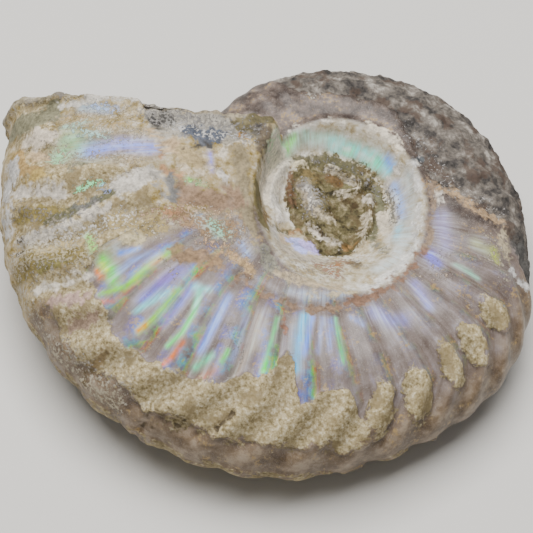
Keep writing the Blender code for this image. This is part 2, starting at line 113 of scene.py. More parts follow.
def buildCoilTree(material):
    tree = bpy.data.node_groups.new("coiledWhorl", "GeometryNodeTree")
    tree.interface.new_socket("Geometry", in_out="OUTPUT", socket_type="NodeSocketGeometry")
    for name, value in coil.items():
        kind = "NodeSocketInt" if isinstance(value, int) else "NodeSocketFloat"
        tree.interface.new_socket(name, in_out="INPUT", socket_type=kind).default_value = value
    given = addNode(tree, "NodeGroupInput").outputs
    add = partial(addNode, tree)
    sums, ranges = "ShaderNodeMath", "ShaderNodeMapRange"

    # a ball's rings become the whorl's section, and its meridians the turns of the coil
    ball = add("GeometryNodeMeshUVSphere", {"Segments": given["columns"], "Rings": given["rows"]})
    x, y, z = add("ShaderNodeSeparateXYZ", [add("GeometryNodeInputPosition")]).outputs
    turn = add(sums, [add(sums, [y, x], operation="ARCTAN2"), math.tau], operation="DIVIDE")
    turn = add(sums, [turn, 1.0, 0.0], operation="WRAP")
    ring = add("ShaderNodeVectorMath", [add("ShaderNodeCombineXYZ", [x, y])], operation="LENGTH")
    ring = ring.outputs["Value"]

    # round the coil the meridians are even steps of growth
    coilShare = add(sums, [1.0, given["faceShare"]], operation="SUBTRACT")
    onFace = add(sums, [turn, coilShare], operation="GREATER_THAN")
    growth = add(ranges, {"Value": turn, "From Max": coilShare, "To Min": given["newest"],
                          "To Max": given["oldest"]}, clamp=False)
    azimuth = add(sums, [add(sums, [growth, given["mouthAzimuth"]], operation="ADD")], operation="RADIANS")

    # along the mouth they are even steps in x on the broken face's line
    faceX = add(ranges, {"Value": turn, "From Min": coilShare, "To Min": given["faceInnerX"],
                         "To Max": given["faceOuterX"]}, clamp=False)
    past = add(sums, [given["faceTurnX"], faceX], operation="SUBTRACT")
    past = add(sums, [past, 0.0], operation="MAXIMUM")
    slope = add(sums, [past, given["faceBend"], given["faceSkew"]], operation="MULTIPLY_ADD")
    faceY = add(sums, [slope, past, given["faceY"]], operation="MULTIPLY_ADD")
    faceReach = add("ShaderNodeVectorMath", [add("ShaderNodeCombineXYZ", [faceX, faceY])], operation="LENGTH")
    faceAzimuth = add(sums, [faceY, faceX], operation="ARCTAN2")
    faceGrowth = add(sums, [faceAzimuth], operation="DEGREES")
    faceGrowth = add(sums, [faceGrowth, given["mouthAzimuth"]], operation="SUBTRACT")

    # the spiral: the radius and the thickness both shrink by a fixed share in each turn
    turns = add(sums, [growth, -360.0], operation="DIVIDE")
    spiral = add(sums, [given["expansion"], turns], operation="POWER")
    spiral = add(sums, [given["mouthRadius"], spiral], operation="MULTIPLY")
    azimuth = add("ShaderNodeMix", {"Factor": onFace, "A": azimuth, "B": faceAzimuth})
    growth = add("ShaderNodeMix", {"Factor": onFace, "A": growth, "B": faceGrowth})
    reach = add("ShaderNodeMix", {"Factor": onFace, "A": spiral, "B": faceReach.outputs["Value"]})
    edge = add("ShaderNodeMix", {"Factor": onFace, "A": spiral, "B": given["mouthRadius"]})
    age = add(sums, [add(sums, [growth, given["newest"]], operation="MAXIMUM"), -360.0], operation="DIVIDE")
    size = add(sums, [given["thickening"], age], operation="POWER")
    radius = add(sums, [reach, ring], operation="MULTIPLY")

    # the section: rounded over from the outer edge, then nearly flat
    width = add(sums, [edge, given["shoulder"]], operation="SUBTRACT")
    depth = add(sums, [add(sums, [edge, radius], operation="SUBTRACT"), width], operation="DIVIDE")
    outer = add(ranges, {"Value": depth, "From Max": given["flankShare"], "To Min": 1.0, "To Max": 0.0})
    inner = add(ranges, {"Value": depth, "From Min": given["flankShare"], "To Max": 1.0}, clamp=True)
    rounded = add(sums, [outer, outer], operation="MULTIPLY")
    rounded = add(sums, [rounded, -1.0, 1.0], operation="MULTIPLY_ADD")
    fall = add(sums, [inner, inner], operation="MULTIPLY")
    fall = add(sums, [fall, given["flankFall"]], operation="MULTIPLY")
    flank = add(sums, [add(sums, [rounded], operation="SQRT"), fall], operation="SUBTRACT")
    height = add(sums, [flank, size], operation="MULTIPLY")
    height = add(sums, [height, given["halfThickness"]], operation="MULTIPLY")
    place = add("ShaderNodeCombineXYZ", [
        add(sums, [radius, add(sums, [azimuth], operation="COSINE")], operation="MULTIPLY"),
        add(sums, [radius, add(sums, [azimuth], operation="SINE")], operation="MULTIPLY"),
        add(sums, [height, add(sums, [z], operation="SIGN")], operation="MULTIPLY")])

    # ribs: a wave round the coil that bends forward over the outer edge and grows with the whorl
    profiles = []
    for points, low, high in ((ribRise, 0.0, 1.0), (ribSweep, *sweepRange)):
        profile = add("ShaderNodeFloatCurve", {"Value": depth})
        knots = profile.mapping.curves[0].points
        while len(knots) < len(points):
            knots.new(0.5, 0.5)
        for knot, (across, up) in zip(knots, points):
            knot.location = (across, (up - low) / (high - low))
            knot.handle_type = "VECTOR"
        profile.mapping.update()
        profiles.append(add(ranges, {"Value": profile, "To Min": low, "To Max": high}))
    rise, sweep = profiles
    turned = add(sums, [growth, given["ribPhase"]], operation="SUBTRACT")
    turned = add(sums, [turned, sweep], operation="SUBTRACT")
    turned = add(sums, [turned, given["ribSpacing"]], operation="DIVIDE")
    turned = add(sums, [turned, math.tau], operation="MULTIPLY")
    wave = add(sums, [add(sums, [turned], operation="COSINE"), rise], operation="MULTIPLY")
    fade = add(ranges, {"Value": growth, "From Min": given["ribsFadeFrom"], "From Max": given["ribsFadeTo"]},
               interpolation_type="SMOOTHSTEP")
    wave = add(sums, [add(sums, [wave, fade], operation="MULTIPLY"), size], operation="MULTIPLY")
    wave = add(sums, [wave, given["ribHeight"]], operation="MULTIPLY")
    # growth and rib height are kept on the ball's points, because moving these changes what the sums give
    shaped = ball
    for name, value in (("growth", growth), ("rib", wave)):
        shaped = add("GeometryNodeStoreNamedAttribute", {"Geometry": shaped, "Name": name, "Value": value},
                     data_type="FLOAT", domain="POINT")
    shaped = add("GeometryNodeSetPosition", {"Geometry": shaped, "Position": place})
    rib = add("GeometryNodeInputNamedAttribute", ["rib"], data_type="FLOAT")
    lift = add("ShaderNodeVectorMath", {0: add("GeometryNodeInputNormal"), "Scale": rib}, operation="SCALE")
    ribbed = add("GeometryNodeSetPosition", {"Geometry": shaped, "Offset": lift})

    real = add("GeometryNodeRealizeInstances", [ribbed])
    dressed = add("GeometryNodeSetMaterial", {"Geometry": real, "Material": material})
    add("NodeGroupOutput", [dressed])
    return tree


def evaluatedMesh(mesh, kind, **settings):  # the mesh as one modifier leaves it
    holder = bpy.data.objects.new("holder", mesh)
    bpy.context.scene.collection.objects.link(holder)
    modifier = holder.modifiers.new(kind, kind)
    inputs = settings.pop("inputs", {})
    for name, value in settings.items():
        setattr(modifier, name, value)
    for name, value in inputs.items():
        modifier[modifier.node_group.interface.items_tree[name].identifier] = value
    made = bpy.data.meshes.new_from_object(holder.evaluated_get(bpy.context.evaluated_depsgraph_get()))
    bpy.data.objects.remove(holder)
    return made


def readPoints(mesh):
    points = np.empty(len(mesh.vertices) * 3, np.float32)
    mesh.vertices.foreach_get("co", points)
    return points.reshape(-1, 3).astype(float)


def readNormals(mesh):
    normals = np.empty(len(mesh.vertices) * 3, np.float32)
    mesh.vertex_normals.foreach_get("vector", normals)
    return normals.reshape(-1, 3).astype(float)


def writePoints(mesh, points):
    mesh.vertices.foreach_set("co", points.astype(np.float32).ravel())
    mesh.update()


# Rules that the sculpting shares with the coil

outlineWear = (-0.050, -0.004, 0.032, 0.044, 0.017, 0.030, -0.026, -0.018, 0.001, -0.007, -0.001, -0.003)


def ease(value, start, end):
    share = np.clip((value - start) / (end - start), 0, 1)
    return share * share * (3 - 2 * share)


def outlineShare(growth):  # how far the outline strays from a true spiral, a smooth ring through the values
    table = np.asarray(outlineWear)
    place = np.asarray(growth) / (360 / len(table))
    index = np.floor(place).astype(int)
    share = place - index
    before, left, right, after = (table[(index + offset) % len(table)] for offset in (-1, 0, 1, 2))
    leaving, coming = (right - before) / 2, (after - left) / 2
    bend = 3 * (right - left) - 2 * leaving - coming
    return left + share * (leaving + share * (bend + share * (leaving + coming - 2 * (right - left))))


def whorlRadius(growth):
    return coil["mouthRadius"] * coil["expansion"] ** (-growth / 360) * (1 + outlineShare(growth))


def halfThickness(growth):
    return coil["halfThickness"] * coil["thickening"] ** (-np.maximum(growth, coil["newest"]) / 360)


def flankProfile(depth):
    outer = 1 - np.clip(depth / coil["flankShare"], 0, 1)
    inner = np.clip((depth - coil["flankShare"]) / (1 - coil["flankShare"]), 0, 1.5)
    return np.sqrt(np.clip(1 - outer ** 2, 0, 1)) - coil["flankFall"] * inner ** 2


def depthAt(radius, edge):
    return (edge - radius) / (edge - coil["shoulder"])


def faceLine(x):
    past = np.clip(coil["faceTurnX"] - x, 0, None)
    return coil["faceY"] + (coil["faceSkew"] + coil["faceBend"] * past) * past


# The umbilicus and the step at the mouth

umbilicus = {
    "rimCentre": (1.2, -2.65),  # the rim is an ellipse
    "rimHalfWidth": 11.3,
    "rimHalfLength": 13.9,
    "pitRadius": 8.5,
    "pitEdge": 3.0,             # height of the pit's edge over the middle plane
    "pitLean": 0.9,
    "pitHighAt": 60.0,          # growth where that edge is highest
    "pitFloor": 1.6,
    "slopeStart": 6.2,
    "darkBelow": 8.6,           # reach of the dark floor on the underside
}
mouth = {
    "upperKnobX": -5.9,         # inner end of the step, above and below
    "lowerKnobX": -9.5,
    "knobSlope": 2.0,
    "stepWidth": 0.5,
    "stepFrom": 180,            # growth past which the older whorl can be covered
    "newestFrom": 300,          # turn past which a point can lie on the newest whorl
    "freeX": -17.0,             # beyond it the newest whorl ends free and bulges past its line
    "bulge": 3.0,
    "faceMargin": 0.25,
    "offFace": -5.0,
}


def rimRadius(azimuth):
    halfWidth, halfLength = umbilicus["rimHalfWidth"], umbilicus["rimHalfLength"]
    across, along = np.cos(azimuth) / halfWidth, np.sin(azimuth) / halfLength
    centreX, centreY = umbilicus["rimCentre"][0] / halfWidth, umbilicus["rimCentre"][1] / halfLength
    square, mixed = across ** 2 + along ** 2, across * centreX + along * centreY
    return (mixed + np.sqrt(mixed ** 2 - square * (centreX ** 2 + centreY ** 2 - 1))) / square


def sideHeight(radius, azimuth, growth, knobX):
    x, y = radius * np.cos(azimuth), radius * np.sin(azimuth)
    older = halfThickness(growth) * flankProfile(depthAt(radius, whorlRadius(growth)))
    newest = halfThickness(coil["newest"]) * flankProfile(depthAt(radius, coil["mouthRadius"]))
    covered = ease(faceLine(x) - y, -mouth["stepWidth"], mouth["stepWidth"])
    covered = covered * ease(knobX - x, 0, mouth["knobSlope"]) * (growth > mouth["stepFrom"])
    return older, (newest - older) * covered


def sculptWhorl(points, growth):
    x, y, z = points.T
    radius, azimuth = np.hypot(x, y), np.arctan2(y, x)
    # the outline's wear pulls the side out or in, and leaves the shoulder where it is
    ideal = coil["mouthRadius"] * coil["expansion"] ** (-growth / 360)
    pulled = (radius - coil["shoulder"]) * (whorlRadius(growth) - coil["shoulder"])
    pulled = pulled / (ideal - coil["shoulder"])
    onCoil = (growth >= coil["newest"] - 0.01) & (radius > coil["shoulder"])
    radius = np.where(onCoil, coil["shoulder"] + pulled, radius)
    knobX = np.where(z > 0, mouth["upperKnobX"], mouth["lowerKnobX"])
    height = np.abs(z) + sideHeight(radius, azimuth, growth, knobX)[1] * (growth > 0)
    # the hollow at the coil's centre
    rim = rimRadius(azimuth)
    atRim = sum(sideHeight(rim, azimuth, growth, knobX))
    edge = umbilicus["pitEdge"] + umbilicus["pitLean"] * np.cos(np.radians(growth - umbilicus["pitHighAt"]))
    share = np.clip((radius - umbilicus["pitRadius"]) / (rim - umbilicus["pitRadius"]), 0, 1)
    wall = edge + (atRim - edge) * (share + np.sin(share * math.pi / 2)) / 2
    slope = ease(radius, umbilicus["slopeStart"], umbilicus["pitRadius"])
    floor = umbilicus["pitFloor"] + (edge - umbilicus["pitFloor"]) * slope
    height = np.where(radius > rim, height, np.where(radius > umbilicus["pitRadius"], wall, floor))
    return np.stack([radius * np.cos(azimuth), radius * np.sin(azimuth), np.sign(z) * height], axis=1)


# Where each point of the shell lies

survey = {
    "grains": {"coarse": 3.4, "medium": 1.3, "fine": 0.6},  # mm from rise to rise of what tears the edges
    "seedStep": 17.3,
    "blend": 0.5,               # mm over which the upper side passes into the lower
}


def grain(points, size, seed):  # soft unevenness, -1 to 1
    shifted = (points / size + seed * survey["seedStep"]).tolist()
    return np.fromiter((noise.noise(place) for place in shifted), float, len(shifted))


def surveyShell(points):
    at = SimpleNamespace()
    at.x, at.y, at.z = points.T
    at.radius, at.azimuth = np.hypot(at.x, at.y), np.arctan2(at.y, at.x)
    turned = (np.degrees(at.azimuth) - coil["mouthAzimuth"]) % 360
    before = np.where(at.x < mouth["freeX"], mouth["bulge"], mouth["stepWidth"])
    onNewest = (turned > mouth["newestFrom"]) & (at.x < mouth["upperKnobX"])
    onNewest = onNewest & (at.y < faceLine(at.x) + before)
    at.growth = np.where(onNewest, turned - 360, turned)
    at.edge = whorlRadius(at.growth)
    at.width = at.edge - coil["shoulder"]
    at.depth = depthAt(at.radius, at.edge)
    at.rim = rimRadius(at.azimuth)
    at.upper = ease(at.z, -survey["blend"], survey["blend"])
    for seed, (name, size) in enumerate(survey["grains"].items(), 1):
        setattr(at, name, grain(points, size, seed))
    return at


def pathDistance(at, path):
    nearest = np.full(at.x.shape, np.inf)
    for (ax, ay), (bx, by) in zip(path[:-1], path[1:]):
        runX, runY = bx - ax, by - ay
        share = np.clip(((at.x - ax) * runX + (at.y - ay) * runY) / (runX ** 2 + runY ** 2), 0, 1)
        nearest = np.minimum(nearest, np.hypot(at.x - ax - share * runX, at.y - ay - share * runY))
    return nearest


# Fields that say where each covering is: mm inside its edge, negative outside

crust = {
    "height": 0.42,
    "reach": ((-4, 0.20), (12, 0.22), (16, 0.60), (28, 0.64), (33, 0.62), (35, 0.34), (38, 0.26), (60, 0.19),
              (70, 0.22), (77, 0.24), (80, 0.35), (86, 0.36), (89, 0.47), (92, 0.42), (95, 0.20),
              (99, 0.28), (106, 0.30), (110, 0.08)),
    "outerLimit": 0.05,
    "last": 110.0,
    "lobes": ((114, 0.17, 3.6, 0.11), (123.5, 0.18, 3.4, 0.13), (133.5, 0.22, 3.0, 0.15),
              (143, 0.25, 3.2, 0.13), (153.5, 0.26, 3.4, 0.11)),
    "ragged": 1.2,
    "finer": 0.6,               # share of its tearing that is finer
    "edge": (-0.25, 0.3),       # mm over which it rises to its height
    "crumbs": 0.05,
    "thinned": 0.55,            # share of its height that it loses beside the mouth
    "thinnedAt": (42, 38),      # growth
    "belowTurn": 6,             # on the underside it lies further round and in, and thinner
    "belowShift": 0.05,
    "belowShare": 0.6,
    "belowCrumbs": 0.10,
}
rock = {
    "edge": ((166, 31.0), (172.5, 26.1), (180, 24.6), (186.5, 18.1), (199, 13.6), (217, 13.0),
             (233, 13.8), (248, 15.8), (267, 15.0), (290, 15.1), (300, 17.2), (308, 21.5)),
    "oldest": 335,
    "mouthEdge": ((-25.5, 10), (-23.5, 5), (-20, 4.2), (-17, 2.4), (-14, 2.4), (-12, 4.2), (-9.5, 5.2),
                  (-7, 8)),
    "mouthAbove": 8.5,          # height in mm from which the mouth's rock shows
    "mouthMargin": 1.5,
    "finer": 0.7,
    "drop": 0.4,                # mm that it lies below the shell
    "dropEdge": (-0.3, 0.4),
    "crumbs": 0.26,
    "belowShare": 0.5,
    "belowCrumbs": 0.3,
}


def crustField(at, growth, depth):
    reachAt, reach = np.transpose(crust["reach"])
    field = np.minimum(np.interp(growth, reachAt, reach) - depth, depth - crust["outerLimit"]) * at.width
    field = np.minimum(field, np.radians(crust["last"] - growth) * at.radius)
    for centre, middle, halfAngle, halfDepth in crust["lobes"]:
        away = np.hypot((growth - centre) / halfAngle, (depth - middle) / halfDepth)
        field = np.maximum(field, (1 - away) * halfDepth * at.width)
    return field + crust["ragged"] * (at.coarse + crust["finer"] * at.medium)


def crustBelow(at):
    return crustField(at, at.growth + crust["belowTurn"], at.depth + crust["belowShift"])


def rockField(at):
    edgeAt, edge = np.transpose(rock["edge"])
    older = at.radius - np.interp(at.growth, edgeAt, edge)
    within = np.minimum(at.growth - edgeAt[0], rock["oldest"] - at.growth)
    older = np.minimum(older, np.radians(within) * at.radius)
    rockX, rockY = np.transpose(rock["mouthEdge"])
    besideMouth = np.minimum(at.y - np.interp(at.x, rockX, rockY), at.x - rockX[0])
    nearMouth = (at.growth < 0) & (at.x < mouth["upperKnobX"]) & (at.z > rock["mouthAbove"])
    nearMouth = nearMouth & (at.y < faceLine(at.x) + rock["mouthMargin"])
    return np.where(nearMouth, besideMouth, older) + at.coarse + rock["finer"] * at.medium


def faceField(at):  # the broken face across the mouth
    depthIn = at.y - faceLine(at.x) + mouth["faceMargin"]
    return np.where((at.growth < 0) & (at.x < mouth["lowerKnobX"]), depthIn, mouth["offFace"])


# Relief

relief = {
    "rimHeight": 0.45, "rimBand": 0.9, "rimStart": (70, 100), "rimEnd": (315, 300),
    "grooveWidth": 0.85, "grooveDepth": 0.55,
    "ribLift": ((-0.05, 0), (0.05, 0.16), (0.35, 0.16), (0.55, 0)),     # mm by depth, over the coil's ribs
    "ribStart": (-4, 20), "ribEnd": (180, 165),
    "brokenEdge": ((-1.5, -20.5), (4, -23), (10, -25.5)), "brokenSoft": (-0.2, 0.3), "brokenDrop": 0.35,
    "brokenFade": (-15, -21),
    "fineShare": 0.6,
    "faceSoft": (-0.5, 0.1), "faceBulge": 0.7, "faceCoarse": 0.3, "faceCrumbs": 0.12,
    "pitSoft": (8.8, 7.3), "pitMedium": 0.22, "pitFine": 0.12,
    "pitSoftBelow": (9.3, 7.7), "pitCoarseBelow": 0.5,
}
sideRidges = (
    (((-12.6, 3.2), (-11.3, 0.8), (-11.1, -3), (-11, -7), (-9.3, -11)), 1.1, 0.55),
    (((-39, -6.2), (-34, -7), (-29.5, -5)), 1.3, -0.55),
    (((-40, -8.4), (-35, -8.9), (-30, -7.6)), 1, 0.30),
    (((-22.5, -1.5), (-21.5, -4.5)), 0.9, -0.30),
    (((-19, -3.5), (-14, -4)), 2.2, -0.30),
    (((-25, -32.4), (-21.5, -31.9), (-18, -32.8)), 0.45, -0.55),
    (((-16.5, -34), (-14, -33.5), (-12.5, -32.3)), 0.45, -0.55),
)
sideLumps = (
    ((-12.4, 2.4), (1.8, 2), 0.6),
    ((-19, 1.2), (3, 2.2), 0.5),
    ((-37.6, 5), (2.4, 1.6), 0.35),
    ((-39.4, -9.6), (0.9, 0.8), -0.9),
    ((-9.5, 7.2), (2.6, 2.2), 0.6),
    ((-8, -12.4), (1.4, 1.4), -0.3),
)
pitRidges = (
    (((0.5, 6.5), (3, 5.6), (4.6, 4.6), (4.7, 3.4), (3.6, 2.9), (1.6, 2.8)), 0.50, 1.1),
    (((5.9, 2.2), (5.8, 0.4), (6, -1.2), (5.2, -3.2), (4.3, -5.4)), 0.55, 1.2),
    (((-2, -2.2), (-0.6, -3.6), (0.9, -4.1), (2.3, -5.2)), 0.45, 0.9),
    (((-3, 6.6), (-4.4, 4.5), (-4.8, 1.5), (-4.2, -1)), 0.50, 0.8),
    (((-6, 5.2), (-7, 2.6), (-7.2, 0.4), (-6.3, -1.7)), 1.10, 1.5),
)
pitLumps = (
    ((-2.6, 3.6), (1.7, 2.4), 1.4),
    ((-0.8, 0.2), (1.5, 2), 1.6),
    ((3, -1.5), (1.8, 2), -0.5),
    ((2.2, 4.3), (1, 0.7), -0.5),
    ((-2.7, -6), (2.1, 1.7), 0.8),
)


def formsRelief(at, ridges, lumps):
    total = np.zeros(at.x.shape)
    for path, halfWidth, height in ridges:
        total += height * np.exp(-(pathDistance(at, path) / halfWidth) ** 2)
    for (centreX, centreY), (halfX, halfY), height in lumps:
        total += height * np.exp(-((at.x - centreX) / halfX) ** 2 - ((at.y - centreY) / halfY) ** 2)
    return total


def ribTurns(at):  # whole numbers on the crests
    sweepAt, sweep = np.transpose(ribSweep)
    return (at.growth - coil["ribPhase"] - np.interp(at.depth, sweepAt, sweep)) / coil["ribSpacing"]


def bandRelief(at):  # the rim and the groove round the umbilicus, and the tops of the ribs
    band = relief["rimHeight"] * np.exp(-((at.radius - at.rim) / relief["rimBand"]) ** 2)
    band = band * ease(at.growth, *relief["rimStart"]) * ease(at.growth, *relief["rimEnd"])
    band = band - relief["grooveDepth"] * np.exp(-(pathDistance(at, groovePath) / relief["grooveWidth"]) ** 2)
    liftAt, lift = np.transpose(relief["ribLift"])
    ribs = np.interp(at.depth, liftAt, lift) * np.cos(ribTurns(at) * math.tau)
    return band + ribs * ease(at.growth, *relief["ribStart"]) * ease(at.growth, *relief["ribEnd"])


def upperRelief(at, band, crumbs, rocky):
    crusted = ease(crustField(at, at.growth, at.depth), *crust["edge"])
    ledge = crust["height"] * (1 - crust["thinned"] * ease(at.growth, *crust["thinnedAt"]))
    sunk = rocky * (rock["drop"] - rock["crumbs"] * (at.coarse + crumbs))
    upper = band + crusted * (ledge + crust["crumbs"] * crumbs) - sunk
    # the newest shell has flaked off beside the mouth
    edgeY, edgeX = np.transpose(relief["brokenEdge"])
    flaked = ease(at.x - np.interp(at.y, edgeY, edgeX), *relief["brokenSoft"])
    flaked = flaked * ease(at.y, edgeY[0] - 1, edgeY[0]) * ease(at.x, *relief["brokenFade"])
    upper = upper - relief["brokenDrop"] * flaked * (at.growth < 0)
    return upper + formsRelief(at, sideRidges, sideLumps)


def lowerRelief(at, band, crumbs, rocky):
    crusted = ease(crustBelow(at), *crust["edge"])
    ledge = crust["belowShare"] * crust["height"] + crust["belowCrumbs"] * crumbs
    sunk = rock["belowShare"] * rocky * (rock["drop"] - rock["belowCrumbs"] * at.coarse)
    lower = band + crusted * ledge - sunk
    return lower + ease(at.radius, *relief["pitSoftBelow"]) * relief["pitCoarseBelow"] * at.coarse


def shellRelief(at):  # how far each point moves out along its normal, and up for the forms in the pit
    crumbs = at.medium + relief["fineShare"] * at.fine
    rocky = ease(rockField(at), *rock["dropEdge"])
    band = bandRelief(at)
    lower = lowerRelief(at, band, crumbs, rocky)
    out = lower + (upperRelief(at, band, crumbs, rocky) - lower) * at.upper
    bulge = relief["faceBulge"] * np.clip(1 - (at.z / coil["halfThickness"]) ** 2, 0, 1)
    onFace = ease(faceField(at), *relief["faceSoft"])
    out = out + onFace * (bulge + relief["faceCoarse"] * at.coarse + relief["faceCrumbs"] * crumbs)
    inPit = ease(at.radius, *relief["pitSoft"]) * at.upper
    forms = formsRelief(at, pitRidges, pitLumps)
    return out, inPit * (forms + relief["pitMedium"] * at.medium + relief["pitFine"] * at.fine)
